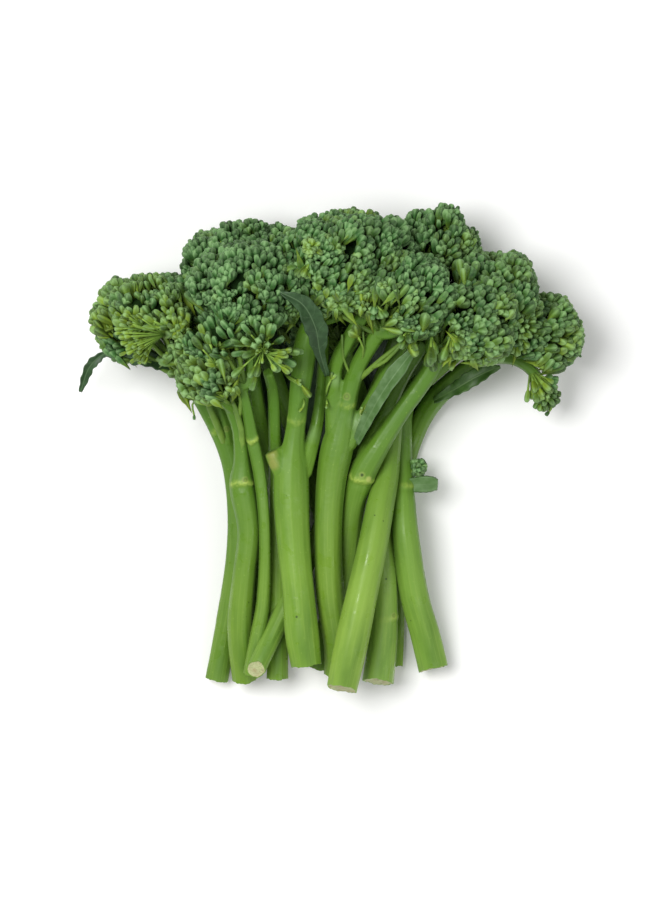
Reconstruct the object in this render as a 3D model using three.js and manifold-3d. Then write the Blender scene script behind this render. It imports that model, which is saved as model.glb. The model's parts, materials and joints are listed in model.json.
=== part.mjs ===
// A bunch of baby broccoli spears lying on a flat surface, heads towards +Y, cut ends towards -Y.
// Units are millimetres, +Z is up, and the surface that the bunch lies on is z = 0.

import * as THREE from 'three';
import { ConvexHull } from 'three/addons/math/ConvexHull.js';
import { mergeVertices } from 'three/addons/utils/BufferGeometryUtils.js';
import Module from 'manifold-3d';

const wasm = await Module();
wasm.setup();

// Driving dimensions
const TOUCH_GAP = 0.3; // clearance between pieces that press on each other
const STALK_SIDES = 8;
const FORK_SIDES = 6;
const BUD_HEIGHT = 1.9; // how far a bud stands out of its floret
const BUD_SPACING = 6.6; // buds are larger than life here
const FLORET_SPACING = 15; // one bump of buds to the next
const FLORET_DIP = 0.16; // depth of the valleys between florets, as a share of the head
const PRESS_START = 0.8; // share of the room before a neighbour at which a head starts to flatten
const HEAD_POWER = 2.6; // 2 is an ellipsoid, more is boxier, as crowded heads are
const UNDERSIDE_SHRINK = 0.2; // a head is flatter on the side where its stalk comes in
const LEAF_THICKNESS = 0.8;
const LEAF_CELLS = { across: 4, perPoint: 3 };
const RIPPLE_PER_CELL = 1.9; // how far a leaf's wave turns from one cell to the next, in radians
const FORK_RADII = [2.04, 1.7, 1.36]; // at the stalk, half way and in the head
const FORK_DROP = 6; // how far below the stalk's top a fork starts
const FORK_SAG = 1.5;
const FORK_RISE = 3; // how far beyond the stalk's top a fork ends
const FORK_SPREAD = { side: 0.5, above: 0.4 }; // as shares of the head's half sizes
const SMALL_BUD_SPACING = 3;
const BUD_HEIGHTS = { least: 0.8, range: 0.4 }; // as shares of BUD_HEIGHT
const BUD_JITTER = 0.7; // as a share of the angle between buds
const CELL_AREA = 0.87; // of one bud or floret in a close packing, as a share of its spacing squared
const FEWEST = { buds: 14, florets: 5 };
const FLORET_HALF = 0.62; // half width of a floret, as a share of FLORET_SPACING
const FLORET_JITTER = 0.35;
const UNDERSIDE = { start: 0.1, end: 0.95 }; // cosines from the stalk's direction
const LEAST_FACING = 0.02; // a wall seen more nearly edge-on than this counts as this
const HEAD_SEED = 100;
const FLORET_SEED = 200;
const TABLE_SIDE = 400;
const TABLE_DEPTH = 20;
const GOLDEN_ANGLE = Math.PI * (3 - Math.sqrt(5));
const UP = new THREE.Vector3(0, 0, 1);

const COLOURS = {
  stalk: { color: 0x7aa53f, roughness: 0.45 },
  head: { color: 0x4f7645, roughness: 0.75 },
  leaf: { color: 0x55774f, roughness: 0.6 },
};

// Each spear: its stalk from the cut end up as [x, y, z, radius], the tilt of the cut in degrees,
// side branches in the same form, and its head as a centre, three half sizes and a number of forks.
const SPEARS = [
  {
    id: '01', // far left, low; carries the loose head at the left end
    stalk: [
      [-40.2, -81.2, 4.4, 4.3], [-37, -64, 7.5, 4.3], [-32.6, -38, 13, 4.3], [-32.8, -17, 16, 4],
      [-35.6, -1, 19, 3.7], [-43.2, 15, 23, 3.3], [-53.5, 30, 27, 3],
    ],
    cut: -4,
    branches: [[[-35.6, -2, 19, 3], [-38.5, 12, 24, 2.4], [-47, 30, 30, 2]]],
    head: { centre: [-64.8, 46, 30], half: [19.4, 15.6, 18.5], forks: 2 },
  },
  {
    id: '02', // left, in front of 01, with a node ring and a thin top
    stalk: [
      [-30.3, -81.2, 9, 4.7], [-31.8, -62, 15.6, 4.6], [-30.2, -43, 21.5, 4.3], [-28.6, -28, 24.5, 4.2],
      [-31, -12, 26.5, 4.4], [-31, -4, 28.5, 2.9], [-32, 7, 32, 2.6], [-36, 18, 38, 2.2],
    ],
    cut: 0,
    branches: [],
    head: { centre: [-42.5, 27, 45], half: [10.5, 9.3, 11], forks: 2 },
  },
  {
    id: '03', // thin stalk that crosses over 02
    stalk: [
      [-27.8, -79, 17.2, 3.2], [-25.7, -66, 19.8, 2.7], [-23.6, -54, 22, 2.4], [-22.9, -28, 28, 2.25],
      [-24.7, -8, 30, 2.2], [-27.1, 4, 33, 2.2], [-29, 15, 38.5, 2], [-32, 27, 44, 1.8],
    ],
    cut: 0,
    branches: [],
    head: { centre: [-38, 39, 48], half: [12.5, 11, 12.5], forks: 2 },
  },
  {
    id: '04', // slants from lower left to upper right behind 05
    stalk: [
      [-26, -77, 24.4, 3.5], [-16.6, -57, 18, 3.5], [-10.3, -43, 16, 3.5], [-2.6, -27, 14.5, 3.5],
      [4.6, -9, 14.5, 3.4], [12, 10, 19, 3.3], [20, 29, 22, 3.1], [25, 42, 23.5, 2.9], [34, 60, 24, 2.7],
    ],
    cut: 34,
    branches: [],
    head: { centre: [38.8, 72.2, 28], half: [13.3, 13.9, 15], forks: 2 },
  },
  {
    id: '05', // thick, in front, left of the middle, with a cut side branch
    stalk: [
      [-8.2, -75.6, 24, 5.2], [-9.6, -65.8, 25.5, 5.8], [-11, -50.8, 27, 5.7], [-13.1, -28, 28, 6],
      [-13.6, -8, 29, 6], [-12.6, 3, 30.5, 3.8], [-11.5, 12, 32.5, 3.5], [-10, 25, 36, 3.8],
      [-8, 38, 39, 4.1], [-3, 50, 41, 3.8],
    ],
    cut: 6,
    branches: [
      [[-14.5, -10, 29, 4], [-17.6, -5, 30.5, 3.7], [-20.2, -0.2, 31.5, 3.1]],
      [[-10, -8, 28.5, 3.6], [-6.8, 1, 27.4, 2.9], [-4.6, 9, 25.4, 2.5], [-3, 22, 27, 2.1], [-2, 40, 34.5, 1.9]],
    ],
    head: { centre: [7.2, 63.7, 42], half: [25.8, 19.9, 21], forks: 3 },
  },
  {
    id: '06', // behind 05, seen in the gaps; carries the open head in front
    stalk: [
      [-18.7, -80.8, 13, 4], [-18.5, -54, 15.5, 3.9], [-18.5, -28, 18.2, 3.8], [-18.7, -16, 20, 3.4],
      [-19.2, 2, 24.5, 2.4], [-19.8, 20, 34.5, 2.2], [-21.5, 27, 45, 2],
    ],
    cut: 0,
    branches: [],
    head: { centre: [-23, 35, 54], half: [10.5, 10.5, 10], forks: 0 },
  },
  {
    id: '07', // thick, in front, in the middle; splits in three under its head
    stalk: [
      [2.3, -79, 15.2, 4.9], [2.6, -69.7, 17.5, 5.1], [0, -50.8, 21, 5], [-0.7, -28, 24.7, 5.1],
      [0.5, -9.8, 26.7, 5.4], [2.6, 1.4, 28.8, 5.6], [5.4, 14, 33, 3.6], [9.3, 28, 38, 3.1],
      [15, 38, 44, 2.9], [20.5, 45, 47.5, 2.6],
    ],
    cut: 0,
    branches: [
      [[2, 4, 30, 3.6], [1.2, 17, 33.5, 2.9], [2, 29, 38, 2.7], [8, 41, 44.5, 2.4], [13.5, 49, 49, 2]],
      [
        [6, 2, 30, 3.2], [10.6, 10, 32, 2.7], [16, 20, 34.5, 2.4], [22, 31, 39.5, 2.1], [26.5, 38, 43, 2],
        [30, 44, 46, 1.8],
      ],
    ],
    head: { centre: [27, 54, 50], half: [18, 14.6, 15.8], forks: 2 },
  },
  {
    id: '08', // the longest, in front below, dives under 09 above the waist
    stalk: [
      [4.2, -83.8, 26.4, 5.3], [7.9, -65.8, 30, 5.8], [12, -47, 31, 5.6], [15.3, -32, 29, 5.2],
      [17.8, -19, 24.7, 4.8], [20.2, -8, 20.2, 4.3], [21.3, 2, 18, 4], [23.5, 14, 18.5, 3.6],
      [38, 29, 23, 3.2], [50, 38, 28, 3],
    ],
    cut: 24,
    branches: [],
    head: { centre: [57, 53, 31], half: [16.6, 17.4, 20], forks: 2 },
  },
  {
    id: '09', // comes from behind the middle and crosses over 08, forks at its node
    stalk: [
      [-4.7, -77, 7, 4.6], [1.9, -56, 10.5, 4.6], [5.5, -38, 14.8, 4.5], [8, -19, 20.5, 4.5],
      [11.5, -8, 25.2, 4.7], [17.4, 2, 29, 3.7], [24.7, 13, 31.5, 3.1], [30, 20.3, 33, 3.2],
      [35.2, 28, 35, 3.1], [40, 37, 38, 3],
    ],
    cut: 0,
    branches: [
      [[11, -8, 25, 3.4], [14, 2, 25.5, 3], [19, 12, 26, 2.9], [24.5, 24, 28.5, 2.7], [33, 38, 34, 2.3]],
    ],
    head: { centre: [50.5, 45.5, 42], half: [16.5, 15.5, 18.5], forks: 2 },
  },
  {
    id: '10', // right of 08, low, with the broken leaf base
    stalk: [
      [17, -82, 14, 5.6], [19, -64, 15.2, 5.2], [19.2, -47, 16.5, 4.9], [18, -28, 15.6, 4.5],
      [17, -8, 11, 4.2], [15, 2, 9.3, 4], [12.6, 11, 9.6, 3.8], [7, 28, 12.5, 3.4], [3, 39, 15, 3],
    ],
    cut: 15,
    branches: [],
    head: { centre: [0, 52, 18.6], half: [20, 18.5, 19.5], forks: 2 },
  },
  {
    id: '11', // right edge; its cut end swings out to the right
    stalk: [
      [36.7, -77.6, 7.5, 5.2], [33.8, -65.8, 11, 5.3], [29.6, -50.8, 16, 5.1], [26.4, -28, 20, 4.4],
      [26, -19, 18, 4.1], [25.5, -8, 13, 3.9], [25.4, 2, 11, 3.6], [26, 14, 11.2, 3.3],
      [31, 27, 11.5, 3.1], [37, 37, 13, 2.8],
    ],
    cut: 20,
    branches: [],
    head: { centre: [46, 51, 15], half: [18.5, 17, 17.5], forks: 2 },
  },
  {
    id: '12', // behind 11, then the curve at the right side of the waist
    stalk: [
      [22.4, -76.6, 4.4, 3.4], [23.6, -50, 5.5, 3.4], [25.6, -28, 6.5, 3.4], [27.4, -4, 4.4, 3.3],
      [30.2, 5.4, 5, 3.6], [33.8, 13.4, 8.2, 3.9], [39.4, 20.6, 12, 3.9], [54.6, 32.2, 18, 3.2],
      [68, 36.5, 22.5, 2.6],
    ],
    cut: 0,
    branches: [[[56, 32.6, 18.5, 2.6], [65, 32, 21, 2.4], [71.3, 27.8, 21, 2.3], [74.4, 23, 20.5, 2.4]]],
    head: { centre: [77.2, 41.8, 26], half: [11.5, 12.6, 16], forks: 1 },
  },
  {
    id: '13', // dark stalk behind 03 and 06
    stalk: [
      [-14, -68, 4.2, 4.1], [-15, -40, 7.5, 4], [-18, -15, 11.4, 3.8], [-24, 5, 18, 3.5],
      [-26.5, 20, 28, 3.2], [-28, 34, 36, 3], [-29, 44, 41, 2.9],
    ],
    cut: 0,
    branches: [],
    head: { centre: [-29, 57, 46], half: [21.5, 15.5, 18.5], forks: 2 },
  },
  {
    id: '14', // on the underside
    stalk: [
      [8, -70, 3.9, 4], [2, -40, 5.2, 3.9], [-6, -10, 7.5, 3.7], [-17, 18, 11.5, 3.4], [-24.5, 40, 16.5, 3],
      [-29, 52, 19, 2.8],
    ],
    cut: 0,
    branches: [],
    head: { centre: [-31, 61.6, 22], half: [24, 19.6, 19], forks: 2 },
  },
  {
    id: '15', // on the underside, left
    stalk: [
      [-25, -62, 3.7, 3.8], [-26, -28, 5.2, 3.7], [-28.5, -5, 7.5, 3.5], [-34, 15, 10.5, 3.2],
      [-41, 32, 14, 2.9],
    ],
    cut: 0,
    branches: [],
    head: { centre: [-49, 46, 17], half: [19, 18, 20.5], forks: 2 },
  },
];

// Leaves: midrib from the foot as [x, y, z, half width], with the waviness of the edge in mm, the fold
// along the midrib in degrees and the roll of the blade about the midrib in degrees.
const LEAVES = [
  {
    name: 'leaf_middle', // dark folded leaf over the middle gap
    rib: [
      [-1.2, 26, 39.6, 0.8], [-3.6, 34, 49, 1.9], [-5.2, 42.5, 58, 3.9], [-9.6, 50, 63.5, 2.9],
      [-17, 54, 65, 0.5],
    ],
    wave: 0.35, fold: 24, roll: 8,
  },
  {
    name: 'leaf_left', // hangs out past the left head
    rib: [[-74, 33, 27, 0.9], [-79.5, 33.5, 27, 1.2], [-84.5, 29, 26, 1.8], [-87.8, 20.5, 22, 0.6]],
    wave: 0.3, fold: 18, roll: -20,
  },
  {
    name: 'leaf_under_left', // dark blade below the left head
    rib: [[-50, 27.6, 24, 0.9], [-58, 30.4, 29.6, 2.4], [-67, 32, 32, 2.5], [-76.5, 33.4, 33, 0.8]],
    wave: 0.5, fold: 14, roll: 10,
  },
  {
    name: 'leaf_right', // ragged tip under the right heads
    rib: [[36.8, 17.4, 15.6, 1], [44.4, 21.6, 19.4, 2.4], [51.6, 25.8, 22, 2.8], [59.8, 29.4, 22.6, 0.5]],
    wave: 0.7, fold: 12, roll: -14,
  },
  {
    name: 'leaf_fork', // grey-green leaf stalk at the middle fork
    rib: [
      [9.2, 2.5, 32.4, 1.2], [13.5, 11.5, 37.6, 2.2], [18.6, 20.5, 41, 2.5], [24.3, 28.5, 43.4, 2.7],
      [29, 34.5, 45, 1.2],
    ],
    wave: 0.2, fold: 30, roll: -12,
  },
  {
    name: 'leaf_stub', // cut leaf base that sticks out at the right
    rib: [[27, -12.4, 15, 2], [31, -12.2, 16.4, 2.6], [35.5, -12, 18, 2.7], [38, -12.2, 18.6, 1.8]],
    wave: 0.1, fold: 20, roll: 0,
  },
];

// Small florets away from the heads: the direction that each grows in, and its place and half sizes.
const SMALL_FLORETS = [
  {
    name: 'side_floret', // in the crook of the cut leaf base
    axis: [0, 0, 1], centre: [31.4, -6.2, 14.5], half: [2.9, 3.4, 3.2],
  },
  {
    name: 'hanging_floret', // at the end of the branch that hangs down at the right
    axis: [0.4, -0.9, 0], centre: [76, 19.2, 20], half: [5.4, 6.2, 4.8],
  },
];

function seededRandom(seed) {
  let state = seed >>> 0;
  return () => {
    state = (state + 0x6d2b79f5) >>> 0;
    let mixed = Math.imul(state ^ (state >>> 15), 1 | state);
    mixed = (mixed + Math.imul(mixed ^ (mixed >>> 7), 61 | mixed)) ^ mixed;
    return ((mixed ^ (mixed >>> 14)) >>> 0) / 2 ** 32;
  };
}

function solidOf(geometry) {
  geometry.deleteAttribute('normal');
  geometry.deleteAttribute('uv');
  const merged = mergeVertices(geometry, 1e-5);
  return new wasm.Manifold(new wasm.Mesh({
    numProp: 3,
    vertProperties: new Float32Array(merged.attributes.position.array),
    triVerts: new Uint32Array(merged.index.array),
  }));
}

function geometryOf(solid) {
  const mesh = solid.getMesh();
  const geometry = new THREE.BufferGeometry();
  geometry.setAttribute('position', new THREE.BufferAttribute(mesh.vertProperties, 3));
  geometry.setIndex(new THREE.BufferAttribute(mesh.triVerts, 1));
  return geometry;
}

function largestPiece(solid) {
  return solid.decompose().reduce((best, piece) => (piece.volume() > best.volume() ? piece : best));
}

// A smooth route through [x, y, z, size] points, with its size and its own axes at any place along it.
class Route {
  constructor(points) {
    this.curve = new THREE.CatmullRomCurve3(points.map(([x, y, z]) => new THREE.Vector3(x, y, z)));
    this.sizes = points.map((point) => point[3]);
  }

  sizeAt(t) {
    const place = t * (this.sizes.length - 1);
    const index = Math.min(Math.floor(place), this.sizes.length - 2);
    return THREE.MathUtils.lerp(this.sizes[index], this.sizes[index + 1], place - index);
  }

  frameAt(t) {
    const along = this.curve.getTangent(t).normalize();
    const side = new THREE.Vector3().crossVectors(along, UP).normalize();
    const above = new THREE.Vector3().crossVectors(side, along);
    return { centre: this.curve.getPoint(t), along, side, above };
  }
}

// A round limb along a route: a cylinder whose rings are moved on to the route. The cut tilts its foot.
function limb(points, sides, stepsPerPoint, cutTilt, extraRadius) {
  const route = new Route(points);
  const steps = (points.length - 1) * stepsPerPoint;
  const geometry = new THREE.CylinderGeometry(1, 1, 1, sides, steps);
  const position = geometry.attributes.position;
  for (let i = 0; i < position.count; i += 1) {
    const t = THREE.MathUtils.clamp(position.getY(i) + 0.5, 0, 1);
    const { centre, along, side, above } = route.frameAt(t);
    const radius = route.sizeAt(t) + extraRadius;
    const across = position.getX(i) * radius;
    const height = position.getZ(i) * radius;
    let slide = 0;
    if (t === 0) slide = height * Math.tan(THREE.MathUtils.degToRad(cutTilt)) - extraRadius;
    if (t === 1) slide = extraRadius;
    centre.addScaledVector(side, across).addScaledVector(above, height).addScaledVector(along, slide);
    position.setXYZ(i, centre.x, centre.y, centre.z);
  }
  return solidOf(geometry);
}

// The short branches by which a stalk spreads into the underside of its head.
function crownForks(spear) {
  const centre = new THREE.Vector3(...spear.head.centre);
  const top = new THREE.Vector3(...spear.stalk.at(-1));
  const axis = centre.clone().sub(top).normalize();
  const side = new THREE.Vector3().crossVectors(axis, UP).normalize();
  const above = new THREE.Vector3().crossVectors(side, axis);
  const start = top.clone().addScaledVector(axis, -FORK_DROP);
  return Array.from({ length: spear.head.forks }, (_, k) => {
    const turn = (k / spear.head.forks) * 2 * Math.PI + Number(spear.id);
    const spread = side.clone().multiplyScalar(Math.cos(turn) * spear.head.half[0] * FORK_SPREAD.side)
      .addScaledVector(above, Math.sin(turn) * spear.head.half[2] * FORK_SPREAD.above);
    const end = top.clone().addScaledVector(axis, FORK_RISE).add(spread);
    const middle = start.clone().lerp(end, 0.5).addScaledVector(axis, -FORK_SAG);
    return [start, middle, end].map((place, i) => [...place, FORK_RADII[i]]);
  });
}

function stalkSolid(spear, extraRadius) {
  let solid = limb(spear.stalk, STALK_SIDES, 1, spear.cut, extraRadius);
  for (const branch of [...spear.branches, ...crownForks(spear)]) {
    solid = solid.add(limb(branch, FORK_SIDES, 1, 0, extraRadius));
  }
  return solid;
}

function powerLength(components, power) {
  return components.reduce((sum, part) => sum + Math.abs(part) ** power, 0) ** (1 / power);
}

// How far a head of three half sizes reaches from its centre in a direction.
function headReach(half, direction) {
  return 1 / powerLength([direction.x / half[0], direction.y / half[1], direction.z / half[2]], HEAD_POWER);
}

// How far away a plane facing a direction can come before it touches the head.
function headSupport(half, direction) {
  const sides = [direction.x * half[0], direction.y * half[1], direction.z * half[2]];
  return powerLength(sides, HEAD_POWER / (HEAD_POWER - 1));
}

// The planes at which a head presses against its neighbours, seen from its own centre.
function pressingPlanes(head, others) {
  const centre = new THREE.Vector3(...head.centre);
  return others.filter((other) => other !== head).flatMap((other) => {
    const way = new THREE.Vector3(...other.centre).sub(centre);
    const apart = way.length();
    way.normalize();
    const own = headSupport(head.half, way);
    const theirs = headSupport(other.half, way);
    return own + theirs > apart ? [{ way, reach: (apart * own) / (own + theirs) - TOUCH_GAP / 2 }] : [];
  });
}

// Directions spread evenly over a sphere in a golden-angle spiral about an axis, each a little off.
function spiralDirections(count, axis, jitter, random) {
  const turn = new THREE.Quaternion().setFromUnitVectors(UP, axis);
  return Array.from({ length: count }, (_, i) => {
    const z = 1 - (2 * i + 1) / count;
    const ring = Math.sqrt(1 - z * z);
    const angle = i * GOLDEN_ANGLE;
    const direction = new THREE.Vector3(ring * Math.cos(angle), ring * Math.sin(angle), z);
    direction.x += (random() - 0.5) * jitter;
    direction.y += (random() - 0.5) * jitter;
    direction.z += (random() - 0.5) * jitter;
    return direction.normalize().applyQuaternion(turn);
  });
}

// The surface that the buds of a head stand on: a round form with a bump for each floret, flatter below,
// and pressed in where neighbours are.
function floretSurface(head, axis, planes, random) {
  const size = Math.cbrt(head.half[0] * head.half[1] * head.half[2]);
  const floretCount = Math.max(FEWEST.florets, Math.round((4 * Math.PI * size * size) / FLORET_SPACING ** 2));
  const florets = spiralDirections(floretCount, axis, FLORET_JITTER, random);
  const floretAngle = (FLORET_HALF * FLORET_SPACING) / size;
  return (direction, stand) => {
    const nearest = Math.min(...florets.map((floret) => floret.angleTo(direction)));
    const bump = Math.sqrt(Math.max(0, 1 - (nearest / floretAngle) ** 2));
    const below = THREE.MathUtils.smoothstep(-direction.dot(axis), UNDERSIDE.start, UNDERSIDE.end);
    const reach = headReach(head.half, direction) * (1 - FLORET_DIP * (1 - bump));
    let radius = (reach - BUD_HEIGHT) * (1 - UNDERSIDE_SHRINK * below);
    let limit = Infinity;
    for (const { way, reach: wall } of planes) {
      const facing = Math.max(direction.dot(way), LEAST_FACING);
      limit = Math.min(limit, wall / facing);
      const room = (wall - BUD_HEIGHT) / facing;
      const fill = radius / room;
      if (fill > PRESS_START) {
        const left = 1 - PRESS_START;
        radius = room * (1 - left * Math.exp((PRESS_START - fill) / left));
      }
    }
    return Math.min(radius + stand, limit);
  };
}

// A head: buds in a spiral, each a low six-sided or so point, meeting in the valleys between them.
function headSolid(head, axis, planes, budSpacing, random) {
  const centre = new THREE.Vector3(...head.centre);
  const size = Math.cbrt(head.half[0] * head.half[1] * head.half[2]);
  const cell = CELL_AREA * budSpacing ** 2;
  const budCount = Math.max(FEWEST.buds, Math.round((4 * Math.PI * size * size) / cell));
  const buds = spiralDirections(budCount, axis, BUD_JITTER / Math.sqrt(budCount), random);
  const surface = floretSurface(head, axis, planes, random);
  const scale = budSpacing / BUD_SPACING;
  const tips = new Map();
  for (const bud of buds) {
    const share = BUD_HEIGHTS.least + BUD_HEIGHTS.range * random();
    tips.set(bud, surface(bud, BUD_HEIGHT * scale * share));
  }
  const vertices = [];
  const corner = (direction, radius) => {
    const place = centre.clone().addScaledVector(direction, radius);
    vertices.push(place.x, place.y, place.z);
  };
  const hull = new ConvexHull().setFromPoints(buds);
  const valleys = new Map(hull.faces.map((face) => {
    const middle = new THREE.Vector3();
    let edge = face.edge;
    do {
      middle.add(edge.head().point);
      edge = edge.next;
    } while (edge !== face.edge);
    middle.normalize();
    return [face, { direction: middle, radius: surface(middle, 0) }];
  }));
  for (const face of hull.faces) {
    let edge = face.edge;
    do {
      const bud = edge.tail().point;
      const here = valleys.get(face);
      const beyond = valleys.get(edge.twin.face);
      corner(bud, tips.get(bud));
      corner(beyond.direction, beyond.radius);
      corner(here.direction, here.radius);
      edge = edge.next;
    } while (edge !== face.edge);
  }
  const geometry = new THREE.BufferGeometry();
  geometry.setAttribute('position', new THREE.Float32BufferAttribute(vertices, 3));
  return solidOf(geometry);
}

// A leaf: one grid of points along its midrib, repeated for its lower face with the same triangles.
function leafSolid(leaf, extra) {
  const acrossCells = LEAF_CELLS.across;
  const alongCells = (leaf.rib.length - 1) * LEAF_CELLS.perPoint;
  const route = new Route(leaf.rib);
  const roll = THREE.MathUtils.degToRad(leaf.roll);
  const fold = Math.tan(THREE.MathUtils.degToRad(leaf.fold));
  const half = LEAF_THICKNESS / 2 + extra;
  const sheet = new THREE.PlaneGeometry(2, 1, acrossCells, alongCells);
  const grid = sheet.attributes.position;
  const count = grid.count;
  const vertices = [];
  for (const face of [1, -1]) {
    for (let i = 0; i < count; i += 1) {
      const u = grid.getX(i);
      const t = THREE.MathUtils.clamp(grid.getY(i) + 0.5, 0, 1);
      const { centre, along, side, above } = route.frameAt(t);
      side.applyAxisAngle(along, roll);
      above.applyAxisAngle(along, roll);
      const width = route.sizeAt(t) + extra;
      const ripple = leaf.wave * u * u * Math.sin(t * alongCells * RIPPLE_PER_CELL + u);
      const height = Math.abs(u) * width * fold + ripple + face * half;
      const end = t === 0 ? -extra : extra * Number(t === 1);
      centre.addScaledVector(side, u * width).addScaledVector(above, height).addScaledVector(along, end);
      vertices.push(centre.x, centre.y, centre.z);
    }
  }
  const index = [];
  const columns = acrossCells + 1;
  const rim = [];
  for (let c = 0; c < acrossCells; c += 1) rim.push(c);
  for (let r = 0; r < alongCells; r += 1) rim.push(r * columns + acrossCells);
  for (let c = acrossCells; c > 0; c -= 1) rim.push(alongCells * columns + c);
  for (let r = alongCells; r > 0; r -= 1) rim.push(r * columns);
  const faces = sheet.index.array;
  for (let i = 0; i < faces.length; i += 3) {
    index.push(faces[i], faces[i + 1], faces[i + 2]);
    index.push(count + faces[i], count + faces[i + 2], count + faces[i + 1]);
  }
  rim.forEach((from, i) => {
    const to = rim[(i + 1) % rim.length];
    index.push(from, to, count + from);
    index.push(to, count + to, count + from);
  });
  const geometry = new THREE.BufferGeometry();
  geometry.setAttribute('position', new THREE.Float32BufferAttribute(vertices, 3));
  geometry.setIndex(index);
  return solidOf(geometry);
}

function tableSolid() {
  const table = new THREE.BoxGeometry(TABLE_SIDE, TABLE_SIDE, TABLE_DEPTH);
  table.translate(0, 0, -TABLE_DEPTH / 2);
  return solidOf(table);
}

function boxesMeet(a, b) {
  const boxA = a.boundingBox();
  const boxB = b.boundingBox();
  return [0, 1, 2].every((i) => boxA.min[i] < boxB.max[i] && boxB.min[i] < boxA.max[i]);
}

// Cuts away from a solid what other pieces, made a touch larger, take up.
function clearOf(solid, obstacles) {
  let result = solid;
  for (const obstacle of obstacles) {
    if (boxesMeet(result, obstacle)) result = result.subtract(obstacle);
  }
  return largestPiece(result);
}

function meshOf(name, solid, finish) {
  const material = new THREE.MeshStandardMaterial({ ...COLOURS[finish], metalness: 0 });
  const mesh = new THREE.Mesh(geometryOf(solid), material);
  mesh.name = name;
  return mesh;
}

const bunch = new THREE.Group();
const table = tableSolid();
const heads = SPEARS.map((spear) => spear.head);
const grownStalks = SPEARS.map((spear) => stalkSolid(spear, TOUCH_GAP));
const grownLeaves = LEAVES.map((leaf) => leafSolid(leaf, TOUCH_GAP));

SPEARS.forEach((spear, i) => {
  const stalk = clearOf(stalkSolid(spear, 0), [...grownStalks.slice(0, i), table]);
  bunch.add(meshOf(`spear_${spear.id}_stalk`, stalk, 'stalk'));
  const random = seededRandom(HEAD_SEED + Number(spear.id));
  const top = new THREE.Vector3(...spear.stalk.at(-1));
  const axis = new THREE.Vector3(...spear.head.centre).sub(top).normalize();
  const planes = pressingPlanes(spear.head, heads);
  const head = headSolid(spear.head, axis, planes, BUD_SPACING, random);
  bunch.add(meshOf(`spear_${spear.id}_head`, clearOf(head, [...grownStalks, ...grownLeaves, table]), 'head'));
});

for (const leaf of LEAVES) {
  bunch.add(meshOf(leaf.name, clearOf(leafSolid(leaf, 0), grownStalks), 'leaf'));
}

SMALL_FLORETS.forEach((floret, i) => {
  const axis = new THREE.Vector3(...floret.axis).normalize();
  const solid = headSolid(floret, axis, [], SMALL_BUD_SPACING, seededRandom(FLORET_SEED + i));
  bunch.add(meshOf(floret.name, clearOf(solid, [...grownStalks, ...grownLeaves]), 'head'));
});

export default bunch;
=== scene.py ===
"""Looks for a bunch of baby broccoli that lies on a pale surface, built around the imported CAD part.

Places and sizes are in millimetres until a mesh is written, in the part's own frame: +Y runs along
the stalks from the cut ends to the heads, +X runs across the bunch and +Z is up.
"""

import json
import logging
import math
from collections.abc import Sequence
from dataclasses import dataclass, field
from enum import Enum

import bpy
import numpy as np
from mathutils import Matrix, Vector
from mathutils.bvhtree import BVHTree

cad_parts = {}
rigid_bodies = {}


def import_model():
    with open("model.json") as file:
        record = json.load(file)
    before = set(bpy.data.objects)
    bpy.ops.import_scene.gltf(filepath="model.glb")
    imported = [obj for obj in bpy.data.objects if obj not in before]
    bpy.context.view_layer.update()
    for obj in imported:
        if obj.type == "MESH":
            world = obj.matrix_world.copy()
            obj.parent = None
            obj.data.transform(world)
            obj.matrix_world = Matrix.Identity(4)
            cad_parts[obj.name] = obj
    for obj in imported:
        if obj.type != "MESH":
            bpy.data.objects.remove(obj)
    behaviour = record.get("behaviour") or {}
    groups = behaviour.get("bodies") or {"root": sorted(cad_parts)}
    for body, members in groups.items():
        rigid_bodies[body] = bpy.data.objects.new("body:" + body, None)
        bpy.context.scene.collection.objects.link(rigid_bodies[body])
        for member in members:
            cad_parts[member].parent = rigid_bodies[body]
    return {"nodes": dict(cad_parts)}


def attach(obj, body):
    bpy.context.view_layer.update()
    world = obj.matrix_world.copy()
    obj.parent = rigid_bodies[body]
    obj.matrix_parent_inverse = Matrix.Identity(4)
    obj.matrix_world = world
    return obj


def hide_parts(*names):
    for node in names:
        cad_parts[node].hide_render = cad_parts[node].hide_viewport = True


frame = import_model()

logging.basicConfig(level=logging.INFO, format="%(message)s")
log = logging.getLogger("baby_broccoli")

MM = 0.001
GOLDEN_ANGLE = math.pi * (3 - math.sqrt(5))
UP = np.array([0.0, 0.0, 1.0])
ACROSS = np.array([1.0, 0.0, 0.0])
FAR = 400.0  # further than any piece reaches
FLOOR_CLEARANCE = 0.05
SEPALS = 4
SEPAL_DEPTH = 0.15  # how far the sepals stand out from a bud, as a share of its width
HEX_CELL = 0.87  # area that each of some evenly spread places takes, as a share of its spacing squared
MIX_FACTOR, MIX_A, MIX_B, MIX_RESULT = 0, 6, 7, 2  # the colour sockets of a Mix node

Place = tuple[float, float, float]
RoutePoint = tuple[float, float, float, float]


def linear(hex_colour: str) -> tuple[float, float, float, float]:
    """Turns an sRGB hex colour into a linear one.

    Args:
        hex_colour: the colour as "#rrggbb".

    Returns:
        Red, green, blue and an alpha of one.
    """
    shares = [int(hex_colour[i : i + 2], 16) / 255 for i in (1, 3, 5)]
    red, green, blue = (s / 12.92 if s <= 0.04045 else ((s + 0.055) / 1.055) ** 2.4 for s in shares)
    return red, green, blue, 1.0


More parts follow.
